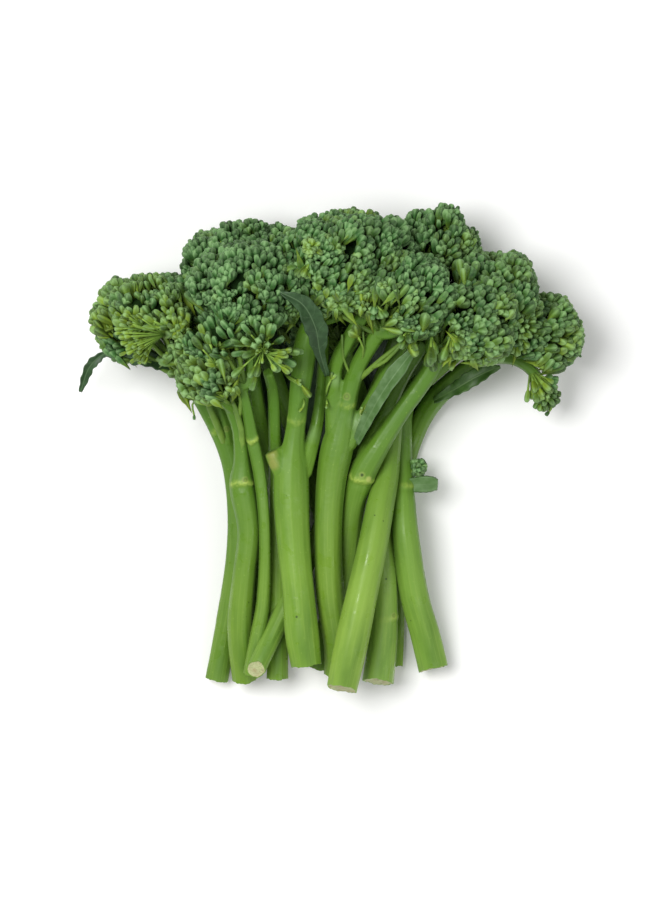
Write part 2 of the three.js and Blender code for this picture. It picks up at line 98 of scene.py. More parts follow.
def add_node(
    tree: bpy.types.NodeTree, kind: str, inputs: dict | None = None, **settings: object
) -> bpy.types.Node:
    """Adds a shader node with its settings, input values and links.

    Args:
        tree: the node tree that it goes into.
        kind: the node's type without its ShaderNode prefix.
        inputs: a value, or a socket to link from, for each input by name or number.
        settings: the node's own properties.

    Returns:
        The new node.
    """
    node = tree.nodes.new(f"ShaderNode{kind}")
    for key, value in settings.items():
        setattr(node, key, value)
    for key, value in (inputs or {}).items():
        if isinstance(value, bpy.types.NodeSocket):
            tree.links.new(value, node.inputs[key])
        else:
            node.inputs[key].default_value = value
    return node


def unit(vectors: np.ndarray) -> np.ndarray:
    """Vectors along the last axis, each made one long."""
    return vectors / np.maximum(np.linalg.norm(vectors, axis=-1, keepdims=True), 1e-9)


def smoothstep(values: np.ndarray, start: float, end: float) -> np.ndarray:
    """Runs smoothly from 0 at start to 1 at end."""
    share = np.clip((values - start) / (end - start), 0, 1)
    return share * share * (3 - 2 * share)


def perpendiculars(axis: np.ndarray) -> tuple[np.ndarray, np.ndarray]:
    """Gives two directions square to an axis and to each other.

    Args:
        axis: one direction, or one a row.

    Returns:
        The two directions, shaped as the axis.
    """
    reference = np.where(np.abs(axis[..., 2:3]) < 0.9, UP, ACROSS)
    first = unit(np.cross(axis, reference))
    return first, np.cross(first, axis)


def cap_directions(
    count: int, axis: np.ndarray, widest: float, jitter: float, draw: np.random.Generator
) -> np.ndarray:
    """Spreads directions evenly over a round cap in a golden-angle spiral.

    Args:
        count: how many directions.
        axis: the middle of the cap.
        widest: the angle from the axis to the cap's edge, in radians.
        jitter: how far each one strays, as a share of its length.
        draw: the seeded random source.

    Returns:
        One direction a row, from the middle outwards.
    """
    steps = np.arange(count)
    height = 1 - (1 - math.cos(widest)) * (steps + 0.5) / count
    ring = np.sqrt(1 - height**2)
    turn = steps * GOLDEN_ANGLE
    first, second = perpendiculars(axis)
    aside = np.outer(ring * np.cos(turn), first) + np.outer(ring * np.sin(turn), second)
    return unit(aside + np.outer(height, axis) + draw.uniform(-jitter, jitter, (count, 3)))


def select_only(*objects: bpy.types.Object) -> None:
    """Selects these objects alone and makes the first one active.

    Args:
        objects: the objects.
    """
    bpy.ops.object.select_all(action="DESELECT")
    for item in objects:
        item.select_set(True)
    bpy.context.view_layer.objects.active = objects[0]


def apply_modifier(item: bpy.types.Object, kind: str, **settings: object) -> None:
    """Adds a modifier to an object and applies it.

    Args:
        item: the object.
        kind: the modifier's type.
        settings: the modifier's own properties.
    """
    select_only(item)
    modifier = item.modifiers.new(kind.title(), kind)
    for key, value in settings.items():
        setattr(modifier, key, value)
    bpy.ops.object.modifier_apply(modifier=modifier.name)


def main_surface(item: bpy.types.Object) -> bpy.types.Object:
    """Takes away the specks that a remesh can leave beside its main surface.

    Args:
        item: the remeshed object.

    Returns:
        The main surface alone.
    """
    select_only(item)
    bpy.ops.object.mode_set(mode="EDIT")
    bpy.ops.mesh.select_all(action="SELECT")
    bpy.ops.mesh.separate(type="LOOSE")
    bpy.ops.object.mode_set(mode="OBJECT")
    parts = sorted(bpy.context.selected_objects, key=lambda part: len(part.data.polygons))
    for speck in parts[:-1]:
        bpy.data.objects.remove(speck)
    return parts[-1]


def points_of(item: bpy.types.Object) -> np.ndarray:
    """Reads an object's vertices.

    Args:
        item: the object.

    Returns:
        The vertices in millimetres, one a row.
    """
    flat = np.empty(len(item.data.vertices) * 3)
    item.data.vertices.foreach_get("co", flat)
    return flat.reshape(-1, 3) / MM


def move_points(item: bpy.types.Object, points: np.ndarray) -> None:
    """Puts an object's vertices at places in millimetres."""
    item.data.vertices.foreach_set("co", (points * MM).ravel())
    item.data.update()


def paint(item: bpy.types.Object, name: str, values: np.ndarray) -> None:
    """Keeps a number or a vector at each vertex for the materials.

    Args:
        item: the object.
        name: the attribute's name.
        values: one number or one row of three for each vertex.
    """
    kind, key = ("FLOAT_VECTOR", "vector") if values.ndim == 2 else ("FLOAT", "value")
    attribute = item.data.attributes.new(name, kind, "POINT")
    attribute.data.foreach_set(key, np.ascontiguousarray(values, np.float32).ravel())


def triangle_count(item: bpy.types.Object) -> int:
    """How many triangles an object's faces make."""
    return sum(len(face.vertices) - 2 for face in item.data.polygons)


def report(piece: bpy.types.Object) -> int:
    """Logs how many triangles a finished piece has.

    Args:
        piece: the piece.

    Returns:
        Its number of triangles.
    """
    count = triangle_count(piece)
    log.info("%s: %d triangles", piece.name, count)
    return count


class Route:
    """A smooth line through given points, with a size at any place along it.

    It is the same spline through the same points as the CAD model's, so both have one shape.
    """

    def __init__(self, points: Sequence[RoutePoint]) -> None:
        """Keeps the points and one more beyond each end.

        Args:
            points: x, y, z and size of each point.
        """
        knots = np.array(points, float)
        self.knots = np.vstack([2 * knots[0] - knots[1], knots, 2 * knots[-1] - knots[-2]])
        self.gaps = np.linalg.norm(np.diff(self.knots[:, :3], axis=0), axis=1) ** 0.5
        chord = unit(knots[-1, :3] - knots[0, :3])
        self.reference = UP if abs(chord[2]) < 0.9 else ACROSS

    def at(self, share: np.ndarray) -> np.ndarray:
        """Finds places on the line.

        Args:
            share: how far along each place is, from 0 to 1.

        Returns:
            x, y, z and size of each place.
        """
        spans = len(self.knots) - 3
        place = np.clip(share, 0, 1) * spans
        index = np.minimum(place.astype(int), spans - 1)
        part = (place - index)[:, None]
        before, start, end, after = (self.knots[index + k] for k in range(4))
        first, middle, last = (self.gaps[index + k][:, None] for k in range(3))
        span = (end - start) / middle
        leave = ((start - before) / first - (end - before) / (first + middle) + span) * middle
        arrive = (span - (after - start) / (middle + last) + (after - end) / last) * middle
        square = 3 * (end - start) - 2 * leave - arrive
        cube = 2 * (start - end) + leave + arrive
        return start + leave * part + square * part**2 + cube * part**3

    def frames(self, share: np.ndarray) -> tuple[np.ndarray, np.ndarray, np.ndarray, np.ndarray, np.ndarray]:
        """Finds places on the line with their own axes.

        Args:
            share: how far along each place is, from 0 to 1.

        Returns:
            Centres, sizes, and the directions along, to the side and above.
        """
        step = 1e-3
        here = self.at(share)
        ahead = self.at(np.minimum(share + step, 1))
        behind = self.at(np.maximum(share - step, 0))
        along = unit(ahead[:, :3] - behind[:, :3])
        side = unit(np.cross(along, self.reference))
        return here[:, :3], here[:, 3], along, side, np.cross(side, along)

    def length(self) -> float:
        """How long the line is."""
        return float(self.distances(np.linspace(0, 1, 200))[-1])

    def distances(self, share: np.ndarray) -> np.ndarray:
        """How far along the line each of some rising places is, from the first of them."""
        steps = np.linalg.norm(np.diff(self.at(share)[:, :3], axis=0), axis=1)
        return np.concatenate([[0.0], np.cumsum(steps)])

    def lay(self, points: np.ndarray) -> np.ndarray:
        """Bends an upright rod of unit radius and length on to the line.

        Args:
            points: the rod's vertices, with z from -0.5 to 0.5.

        Returns:
            The vertices on the route.
        """
        centre, size, _, side, above = self.frames(points[:, 2] + 0.5)
        return centre + side * points[:, 0:1] * size[:, None] + above * points[:, 1:2] * size[:, None]


class Shape:
    """A small modelled shape whose copies are laid out by formula."""

    def __init__(self, item: bpy.types.Object) -> None:
        """Takes the shape from an object and removes the object.

        Args:
            item: the modelled object, in units of its own.
        """
        mesh = item.data
        self.points = np.array([vertex.co for vertex in mesh.vertices])
        self.corners = np.array([corner for face in mesh.polygons for corner in face.vertices])
        self.starts = np.array([face.loop_start for face in mesh.polygons])
        bpy.data.objects.remove(item)


def straight_rod(sides: int, rings: int) -> bpy.types.Object:
    """Models a rod of unit radius and length, upright, with rings cut along it.

    Args:
        sides: how many sides it has.
        rings: how many cuts are made along it.

    Returns:
        The rod.
    """
    bpy.ops.object.select_all(action="DESELECT")
    bpy.ops.mesh.primitive_cylinder_add(vertices=sides, radius=1, depth=1)
    rod = bpy.context.active_object
    bpy.ops.object.mode_set(mode="EDIT")
    bpy.ops.mesh.select_mode(type="EDGE")
    bpy.ops.mesh.select_all(action="DESELECT")
    bpy.ops.object.mode_set(mode="OBJECT")
    for edge in rod.data.edges:
        low, high = (rod.data.vertices[i].co.z for i in edge.vertices)
        edge.select = abs(low - high) > 0.5
    bpy.ops.object.mode_set(mode="EDIT")
    bpy.ops.mesh.subdivide(number_cuts=rings)
    bpy.ops.object.mode_set(mode="OBJECT")
    return rod


def bud_shape() -> Shape:
    """Models one flower bud, tip at the origin and one unit long, with its thin stem below it.

    Returns:
        A closed blunt bud with four sepals, broadest in its upper half.
    """
    sections = {1: (-0.03, 0.56), 2: (-0.16, 0.93), 3: (-0.5, 1.0), 4: (-0.8, 0.8), 5: (-1.0, 0.44)}
    stem_end = -1.6
    bpy.ops.object.select_all(action="DESELECT")
    bpy.ops.mesh.primitive_uv_sphere_add(segments=8, ring_count=6, radius=1)
    bud = bpy.context.active_object
    heights = sorted({round(vertex.co.z, 4) for vertex in bud.data.vertices}, reverse=True)
    for vertex in bud.data.vertices:
        ring = heights.index(min(heights, key=lambda height: abs(height - vertex.co.z)))
        if ring in sections:
            height, width = sections[ring]
            turn = math.atan2(vertex.co.y, vertex.co.x)
            width *= 1 + SEPAL_DEPTH * math.cos(SEPALS * turn)
            vertex.co = (width * math.cos(turn), width * math.sin(turn), height)
        else:
            vertex.co = (0, 0, 0 if ring == 0 else stem_end)
    return Shape(bud)


class CopiedMesh:
    """Gathers many copies of small shapes into one mesh."""

    def __init__(self) -> None:
        """Starts with no copies."""
        self.points: list[np.ndarray] = []
        self.corners: list[np.ndarray] = []
        self.starts: list[np.ndarray] = []
        self.slots: list[np.ndarray] = []
        self.tones: list[np.ndarray] = []
        self.point_count = 0
        self.corner_count = 0

    def add(self, shape: Shape, copies: np.ndarray, slot: int, tones: np.ndarray) -> None:
        """Adds copies of a shape.

        Args:
            shape: the shape that is copied.
            copies: the vertices of each copy, in millimetres, copy by copy.
            slot: the material slot.
            tones: three numbers at each vertex for the materials.
        """
        count, size = copies.shape[:2]
        ids = np.arange(count)[:, None]
        self.points.append(copies.reshape(-1, 3))
        self.tones.append(tones.reshape(-1, 3))
        self.corners.append((shape.corners + ids * size + self.point_count).ravel())
        self.starts.append((shape.starts + ids * len(shape.corners) + self.corner_count).ravel())
        self.slots.append(np.full(count * len(shape.starts), slot))
        self.point_count += count * size
        self.corner_count += count * len(shape.corners)

    def build(self, name: str) -> bpy.types.Object:
        """Makes one object of all the copies.

        Args:
            name: the object's name.

        Returns:
            The object, with the three numbers kept as the attribute "tone".
        """
        points = np.concatenate(self.points)
        points[:, 2] = np.maximum(points[:, 2], FLOOR_CLEARANCE)
        mesh = bpy.data.meshes.new(name)
        mesh.vertices.add(self.point_count)
        mesh.loops.add(self.corner_count)
        starts = np.concatenate(self.starts)
        mesh.polygons.add(len(starts))
        mesh.vertices.foreach_set("co", (points * MM).ravel())
        mesh.loops.foreach_set("vertex_index", np.concatenate(self.corners))
        mesh.polygons.foreach_set("loop_start", starts)
        mesh.polygons.foreach_set("material_index", np.concatenate(self.slots))
        mesh.update(calc_edges=True)
        mesh.validate()
        mesh.shade_smooth()
        item = bpy.data.objects.new(name, mesh)
        bpy.context.scene.collection.objects.link(item)
        paint(item, "tone", np.concatenate(self.tones))
        return item


class Surroundings:
    """The CAD pieces as surfaces that can be asked what is near and what is hidden."""

    looks = 18
    widest_look = math.radians(78)
    look_height = 0.8  # how far off the surface the looks start

    def __init__(self, nodes: dict[str, bpy.types.Object]) -> None:
        """Reads the CAD nodes.

        Args:
            nodes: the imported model's nodes by name.
        """
        self.heads = {name: self.surface([node]) for name, node in nodes.items() if name.endswith("_head")}
        buds = ("_head", "floret")
        self.firm = self.surface([node for name, node in nodes.items() if not name.endswith(buds)])
        self.whole = self.surface(list(nodes.values()))

    @staticmethod
    def surface(nodes: list[bpy.types.Object]) -> BVHTree:
        """Makes one searchable surface, in millimetres.

        Args:
            nodes: the objects whose faces it holds.

        Returns:
            The surface.
        """
        points: list[Vector] = []
        faces: list[list[int]] = []
        for node in nodes:
            first = len(points)
            points.extend(vertex.co / MM for vertex in node.data.vertices)
            faces.extend([first + i for i in face.vertices] for face in node.data.polygons)
        return BVHTree.FromPolygons(points, faces)

    def hidden(self, place: np.ndarray, outwards: np.ndarray, draw: np.random.Generator) -> bool:
        """Says whether other pieces close in a place on a surface from all sides.

        Args:
            place: the place.
            outwards: the direction that the surface faces.
            draw: the seeded random source.

        Returns:
            True if no line of sight leads out of the bunch.
        """
        start = Vector(place + outwards * self.look_height)
        looks = cap_directions(self.looks, outwards, self.widest_look, 0.02, draw)
        return all(self.whole.ray_cast(start, Vector(look), FAR)[0] is not None for look in looks)

    def clear_of_stalks(self, place: np.ndarray, room: float) -> bool:
        """Says whether a place has room on all sides before a stalk or a leaf.

        Args:
            place: the place.
            room: the least distance.

        Returns:
            True if nothing firm is that near, and the place isn't inside it.
        """
        spot = Vector(place)
        near, normal, _, distance = self.firm.find_nearest(spot)
        return near is None or (distance > room and (spot - near).dot(normal) > 0)


class BudHabit(Enum):
    """How the buds of a head have grown."""

    TIGHT = "tight"
    LOOSE = "loose"
    OPEN = "open"


@dataclass(frozen=True)
class Growth:
    """The sizes that go with a habit, in millimetres and radians."""

    bud_length: float
    bud_width: float  # half of it, as of all buds here
    bud_spacing: float
    floret_spacing: float
    dome: float  # how far a floret's buds reach from the place that they spread from
    stray: float  # how far a bud strays from its direction, as a share of its length
    long_share: float  # the share of the buds that stand out from the others
    underside: float  # the angle from the head's direction beyond which no florets grow
    upright: float  # how far the buds turn from their dome's form to the head's own direction
    grown: tuple[float, float]  # the smallest and largest florets' buds, as shares of the sizes above


GROWTHS = {
    BudHabit.TIGHT: Growth(4.7, 1.22, 2.72, 9.0, 6.2, 0.3, 0.16, math.radians(122), 0.85, (0.8, 1.2)),
    BudHabit.LOOSE: Growth(5.0, 1.2, 2.75, 9.2, 6.4, 0.36, 0.28, math.radians(120), 0.9, (0.78, 1.25)),
    BudHabit.OPEN: Growth(4.6, 1.3, 2.8, 9.0, 6.0, 0.3, 0.4, math.radians(80), 0.0, (1, 1)),
}

# x, y and radius of each hollow in the heads, seen from above
HOLLOWS: tuple[Place, ...] = (
    (-68, 37.5, 6.6), (-61.5, 37, 4.8), (-73, 46, 1.5), (-68.5, 45.3, 1.7), (-47, 43.5, 2.8),
    (-42, 41.5, 2.2), (43.6, 60.2, 3.4), (32.8, 69.5, 1.8), (-14.5, 58, 2.4), (-1, 59.5, 1.6),
    (3.5, 58.5, 1.6), (2, 41, 5.8), (8.5, 41.5, 6.2), (15, 39.5, 5.6), (21, 36, 4.6), (27, 33.5, 4),
    (72.5, 28, 4.4),
)


@dataclass(frozen=True)
class Spray:
    """Single buds on long thin stems that spread from one place."""

    origin: Place
    aim: Place
    spread: float  # degrees from the aim
    count: int
    reach: tuple[float, float]  # the nearest and furthest tip
    bud: tuple[float, float] = (5.0, 1.3)  # length and half width
    yellow: float = 0.5
    hollow: float = 0.0  # degrees round the aim that stay free
    stem: float = 0.5  # radius


@dataclass(frozen=True)
class Stray:
    """One bud, or a few together, at the end of a long thin stem of its own."""

    route: tuple[Place, ...]
    bud: tuple[float, float] = (4.2, 1.1)  # length and half width
    yellow: float = 0.9
    count: int = 1
    stem: float = 0.42  # radius


@dataclass(frozen=True)
class HeadForm:
    """A head of buds: its place and half sizes are the CAD model's."""

    centre: Place
    half: Place
    forks: int  # how many short branches the stalk has under the head
    habit: BudHabit = BudHabit.TIGHT
    yellow: float = 0.15  # how yellow the head is on the whole, from 0 to 1
    sprays: tuple[Spray, ...] = ()
    more: tuple[RoutePoint, ...] = ()  # the top and the dome of each floret that fills in beside the head
    strays: tuple[Stray, ...] = ()
    spacing: float = 1.0  # wider or closer than the habit's own spacing
    underside: float = 180.0  # degrees from the head's direction beyond which no buds grow
    twigs: tuple[tuple[RoutePoint, ...], ...] = ()  # thin side branches from the stalk up into the head


@dataclass(frozen=True)
class NodeRing:
    """The raised pale line where a leaf was, with the scar on one side."""

    y: float
    facing: float = 60.0  # degrees round the stalk from its right side towards the camera
    strength: float = 1.0


class MarkKind(Enum):
    """What a small mark on a stalk is."""

    SCAR = "scar"
    HOLE = "hole"
    SPECK = "speck"
    PALE = "pale"
    WAX = "wax"
    DRY = "dry"


@dataclass(frozen=True)
class Mark:
    """A small mark on the upper side of a stalk."""

    place: tuple[float, float]  # x and y
    radius: float
    kind: MarkKind


@dataclass(frozen=True)
class Spear:
    """One spear: the stalk's route and branches are the CAD model's."""

    number: str
    stalk: tuple[RoutePoint, ...]
    cut: float  # degrees that the cut is tilted
    head: HeadForm
    branches: tuple[tuple[RoutePoint, ...], ...] = ()
    rings: tuple[NodeRing, ...] = ()
    fresh: str = "#71952d"
    marks: tuple[Mark, ...] = ()

    def top(self) -> np.ndarray:
        """Where the stalk meets its head."""
        return np.array(self.stalk[-1][:3])

    def axis(self) -> np.ndarray:
        """The direction from the stalk into its head."""
        return unit(np.array(self.head.centre) - self.top())


SPEARS = (
    Spear(
        "01",
        ((-40.2, -81.2, 4.4, 4.3), (-37, -64, 7.5, 4.3), (-32.6, -38, 13, 4.3), (-32.8, -17, 16, 4),
         (-35.6, -1, 19, 3.7), (-43.2, 15, 23, 3.3), (-53.5, 30, 27, 3)),
        -4,
        HeadForm(
            (-64.8, 46, 30), (19.4, 15.6, 18.5), 2, BudHabit.LOOSE, yellow=0.6,
            sprays=(Spray((-57.5, 40, 45), (-1, -0.1, 0.1), 32, 46, (10, 17.5), (2.6, 0.76), 1.0, 0, 0.3),
                    Spray((-61, 37.5, 45), (-1, -0.55, 0.1), 34, 40, (5, 10.5), (2.4, 0.74), 1.0, 0, 0.3),
                    Spray((-64, 42.5, 46), (-1, 0.2, 0.1), 34, 34, (5, 12), (2.8, 0.8), 0.9, 0, 0.3),
                    Spray((-56.5, 42.5, 45), (-1, 0.15, 0.1), 20, 8, (9, 14), (5.4, 1.25), 0.6)),
            more=((-57, 49, 45, 5.6), (-52.5, 43.5, 45, 5.4), (-61.6, 36.4, 36, 5.2), (-67, 35.6, 35, 4.8)),
            strays=(Stray(((-45, 20, 22), (-48.4, 16, 22), (-47.8, 12.4, 22)), (1.9, 0.5), 0.1),),
            underside=106,
        ),
        (((-35.6, -2, 19, 3), (-38.5, 12, 24, 2.4), (-47, 30, 30, 2)),),
        (NodeRing(7.4),),
        fresh="#678a2d",
        marks=(Mark((-36.2, 7.4), 0.9, MarkKind.SCAR),),
    ),
    Spear(
        "02",
        ((-30.3, -81.2, 9, 4.7), (-31.8, -62, 15.6, 4.6), (-30.2, -43, 21.5, 4.3), (-28.6, -28, 24.5, 4.2),
         (-31, -12, 26.5, 4.4), (-31, -4, 28.5, 2.9), (-32, 7, 32, 2.6), (-36, 18, 38, 2.2)),
        0,
        HeadForm(
            (-42.5, 27, 45), (10.5, 9.3, 11), 2, BudHabit.LOOSE, yellow=0.6,
            sprays=(Spray((-39, 29, 52), (-0.5, 0.85, 0.25), 26, 8, (9, 16), (5.2, 1.25), 0.5),),
            more=((-59, 34.6, 42, 4.6), (-54.2, 31, 42, 4.8), (-51, 36, 46, 5)),
            twigs=(
                ((-31.2, -3, 30, 0.9), (-30.6, 4, 32.8, 1.25), (-31.8, 11, 36.5, 1.2), (-35.6, 20, 41, 1.1)),
                ((-31.8, 11, 36, 0.9), (-31, 17, 40, 0.8), (-33, 24, 44, 0.7)),
                ((-36.4, 0, 20.5, 1.1), (-38.4, 6, 24.6, 1.5), (-41, 12, 29, 1.4), (-44.5, 22, 36, 1.2)),
            ),
        ),
        rings=(NodeRing(-11.2, 80, 1.3),),
        fresh="#749531",
        marks=(Mark((-29.6, -10.5), 1.0, MarkKind.SCAR), Mark((-33.4, -40), 0.35, MarkKind.SPECK),
               Mark((-28.6, -53.6), 0.4, MarkKind.SPECK), Mark((-29.4, -58.6), 0.3, MarkKind.SPECK)),
    ),
    Spear(
        "03",
        ((-27.8, -79, 17.2, 3.2), (-25.7, -66, 19.8, 2.7), (-23.6, -54, 22, 2.4), (-22.9, -28, 28, 2.25),
         (-24.7, -8, 30, 2.2), (-27.1, 4, 33, 2.2), (-29, 15, 38.5, 2), (-32, 27, 44, 1.8)),
        0,
        HeadForm((-38, 39, 48), (12.5, 11, 12.5), 2, BudHabit.LOOSE, yellow=0.25, spacing=1.25),
        rings=(NodeRing(3.9, 90, 1.2),),
        fresh="#719430",
    ),
    Spear(
        "04",
        ((-26, -77, 24.4, 3.5), (-16.6, -57, 18, 3.5), (-10.3, -43, 16, 3.5), (-2.6, -27, 14.5, 3.5),
         (4.6, -9, 14.5, 3.4), (12, 10, 19, 3.3), (20, 29, 22, 3.1), (25, 42, 23.5, 2.9), (34, 60, 24, 2.7)),
        34,
        HeadForm((38.8, 72.2, 28), (13.3, 13.9, 15), 2, BudHabit.LOOSE, yellow=0.22),
        fresh="#729637",
    ),
    Spear(
        "05",
        ((-8.2, -75.6, 24, 5.2), (-9.6, -65.8, 25.5, 5.8), (-11, -50.8, 27, 5.7), (-13.1, -28, 28, 6),
         (-13.6, -8, 29, 6), (-12.6, 3, 30.5, 3.8), (-11.5, 12, 32.5, 3.5), (-10, 25, 36, 3.8),
         (-8, 38, 39, 4.1), (-3, 50, 41, 3.8)),
        6,
        HeadForm(
            (7.2, 63.7, 42), (25.8, 19.9, 21), 3, BudHabit.TIGHT, yellow=0.15,
            sprays=(Spray((-6.3, 69, 60), (-0.2, 0.2, 1), 74, 20, (3, 5.5), (3.6, 0.95), 0.95),
                    Spray((-6, 66, 56), (-0.6, -0.8, 0.5), 30, 5, (7, 11), (5, 1.2), 0.6)),
            more=((-10.5, 61, 56, 5.6), (-2, 62.5, 60, 5.6), (-9.5, 55.5, 52, 5), (-2.5, 57, 57, 5.2),
                  (22.5, 71.5, 46, 5.2), (28.5, 71, 44, 4.6)),
            strays=(
                Stray(((-15.6, 26.4, 38), (-13.4, 24.2, 41), (-10.6, 22.8, 42.2), (-9.4, 21.9, 42)),
                      (4.6, 1.0), 1.0),
                Stray(((-15, 26, 38.6), (-12.8, 24.6, 41.2), (-11.6, 24, 42)), (2.4, 0.7), 0.95, 2),
                Stray(((-9.3, 18, 36.6), (-9, 16.2, 38), (-9.6, 14.6, 37.6)), (1.7, 0.42), 1.0),
            ),
        ),
        (((-14.5, -10, 29, 4), (-17.6, -5, 30.5, 3.7), (-20.2, -0.2, 31.5, 3.1)),
         ((-10, -8, 28.5, 3.6), (-6.8, 1, 27.4, 2.9), (-4.6, 9, 25.4, 2.5), (-3, 22, 27, 2.1),
          (-2, 40, 34.5, 1.9))),
        (NodeRing(10.5, 90, 0.5),),
        fresh="#759a33",
        marks=(Mark((-11.7, -58.4), 0.55, MarkKind.SPECK), Mark((-15.2, -16), 0.3, MarkKind.SPECK),
               Mark((-20.6, -1.6), 2.2, MarkKind.DRY), Mark((-20, -5), 2.2, MarkKind.DRY),
               Mark((-6.8, 5.6), 3.0, MarkKind.WAX)),
    ),
    Spear(
        "06",
        ((-18.7, -80.8, 13, 4), (-18.5, -54, 15.5, 3.9), (-18.5, -28, 18.2, 3.8), (-18.7, -16, 20, 3.4),
         (-19.2, 2, 24.5, 2.4), (-19.8, 20, 34.5, 2.2), (-21.5, 27, 45, 2)),
        0,
        HeadForm(
            (-23, 35, 54), (10.5, 10.5, 10), 0, BudHabit.OPEN, yellow=0.6,
            sprays=(Spray((-23, 35, 51), (0, -0.1, 1), 94, 30, (8, 15.5), (5.2, 1.25), 0.45, 46, 0.36),
                    Spray((-23, 35, 51), (-0.1, 0.6, 0.8), 40, 12, (10, 14), (5.4, 1.3), 0.4, 8, 0.36),
                    Spray((-23, 34.5, 54), (0.1, -0.3, 1), 60, 9, (3, 5.5), (1.8, 0.5), 1.0, 0, 0.3),
                    Spray((-22, 33, 55), (0.95, -0.3, 0.35), 30, 10, (7, 11.5), (3.4, 0.9), 1.0, 0, 0.36)),
        ),
    ),
    Spear(
        "07",
        ((2.3, -79, 15.2, 4.9), (2.6, -69.7, 17.5, 5.1), (0, -50.8, 21, 5), (-0.7, -28, 24.7, 5.1),
         (0.5, -9.8, 26.7, 5.4), (2.6, 1.4, 28.8, 5.6), (5.4, 14, 33, 3.6), (9.3, 28, 38, 3.1),
         (15, 38, 44, 2.9), (20.5, 45, 47.5, 2.6)),
        0,
        HeadForm(
            (27, 54, 50), (18, 14.6, 15.8), 2, BudHabit.LOOSE, yellow=0.2, underside=118,
            sprays=(Spray((15.5, 50, 59), (0.35, -1, 0.4), 34, 8, (3, 6.5), (3.2, 1.1), 0.4),
                    Spray((19, 56, 62), (0, -0.3, 1), 60, 10, (3, 5), (3.2, 0.9), 0.95),
                    Spray((27, 41, 57), (-0.2, -1, 0.2), 40, 9, (3.5, 8), (3.8, 1.15), 0.55)),
            more=((0, 55, 58, 5.6), (7, 54, 60, 5.8), (13.5, 52.5, 62, 5.6), (-3, 51.5, 54, 5),
                  (4, 50, 56, 5)),
            strays=(Stray(((9.5, 29, 40), (11.8, 33.5, 44.5), (10.6, 37.5, 48.5), (9.4, 39.5, 50)),
                          (4.6, 1.4), 0.8, 2),
                    Stray(((-1.4, 19, 36), (-0.8, 22, 38.6), (0.4, 24.6, 38.8)), (3, 0.75), 0.85, 2),
                    Stray(((-1.2, 17.5, 36), (-1, 16, 37.4)), (2.2, 0.5), 0.9),
                    Stray(((11, 12.6, 35.4), (11.6, 14, 37.4)), (2.1, 0.5), 0.95, 4),
                    Stray(((25, 41, 52), (26, 38, 55), (27, 37, 55)), (5.4, 1.5), 1.0)),
            twigs=(((7.4, 25.5, 37, 0.55), (4.6, 32, 42, 0.5), (4.2, 40, 47, 0.5)),
                   ((11.8, 27, 39, 0.5), (11.9, 33, 43.5, 0.45), (11.4, 41, 49, 0.4)),
                   ((9.2, 24, 36, 1.3), (14.6, 28.6, 41.4, 1.0), (22, 35, 46, 0.9), (30, 39.6, 50, 0.8)),
                   ((14.6, 28.6, 41.4, 0.8), (19.4, 31, 45, 0.7), (25.5, 37.6, 49, 0.6))),
        ),
        (((2, 4, 30, 3.6), (1.2, 17, 33.5, 2.9), (2, 29, 38, 2.7), (8, 41, 44.5, 2.4), (13.5, 49, 49, 2)),
         ((6, 2, 30, 3.2), (10.6, 10, 32, 2.7), (16, 20, 34.5, 2.4), (22, 31, 39.5, 2.1), (26.5, 38, 43, 2),
          (30, 44, 46, 1.8))),
        (NodeRing(16.5, 60, 0.5),),
        fresh="#70922e",
        marks=(Mark((5.8, 18.6), 1.1, MarkKind.SCAR), Mark((11.2, 13.4), 0.9, MarkKind.PALE),
               Mark((-1.4, 20.6), 0.6, MarkKind.SCAR), Mark((2.2, 24), 2.2, MarkKind.WAX),
               Mark((9.4, 10), 3.2, MarkKind.WAX), Mark((11.6, 26), 2.4, MarkKind.WAX)),
    ),
    Spear(
        "08",
        ((4.2, -83.8, 26.4, 5.3), (7.9, -65.8, 30, 5.8), (12, -47, 31, 5.6), (15.3, -32, 29, 5.2),
         (17.8, -19, 24.7, 4.8), (20.2, -8, 20.2, 4.3), (21.3, 2, 18, 4), (23.5, 14, 18.5, 3.6),
         (38, 29, 23, 3.2), (50, 38, 28, 3)),
        24,
        HeadForm(
            (57, 53, 31), (16.6, 17.4, 20), 2, BudHabit.TIGHT, yellow=0.32,
            sprays=(Spray((46.5, 55, 49), (0.25, 1, 0.1), 24, 8, (8, 12), (5.4, 1.3), 0.45),),
        ),
        fresh="#83a53e",
        marks=(Mark((15.6, -22.8), 0.5, MarkKind.SPECK), Mark((18.6, -24.8), 0.35, MarkKind.SPECK),
               Mark((13.4, -40), 0.25, MarkKind.SPECK)),
    ),
    Spear(
        "09",
        ((-4.7, -77, 7, 4.6), (1.9, -56, 10.5, 4.6), (5.5, -38, 14.8, 4.5), (8, -19, 20.5, 4.5),
         (11.5, -8, 25.2, 4.7), (17.4, 2, 29, 3.7), (24.7, 13, 31.5, 3.1), (30, 20.3, 33, 3.2),
         (35.2, 28, 35, 3.1), (40, 37, 38, 3)),
        0,
        HeadForm(
            (50.5, 45.5, 42), (16.5, 15.5, 18.5), 2, BudHabit.TIGHT, yellow=0.32, more=((47.5, 40.5, 57, 5),),
            sprays=(Spray((35, 39.5, 52), (0.05, -1, 0.2), 20, 6, (7, 13), (6, 1.6), 0.65),
                    Spray((42, 40.5, 53), (0.4, -1, 0.2), 32, 9, (6, 10.5), (4.8, 1.3), 0.6)),
            strays=(Stray(((44, 32.5, 40), (43.4, 30.6, 42.4)), (4.4, 1.15), 1.0),),
        ),
        (((11, -8, 25, 3.4), (14, 2, 25.5, 3), (19, 12, 26, 2.9), (24.5, 24, 28.5, 2.7), (33, 38, 34, 2.3)),),
        (NodeRing(-9.1, 70, 1.2),),
        fresh="#6c8f2f",
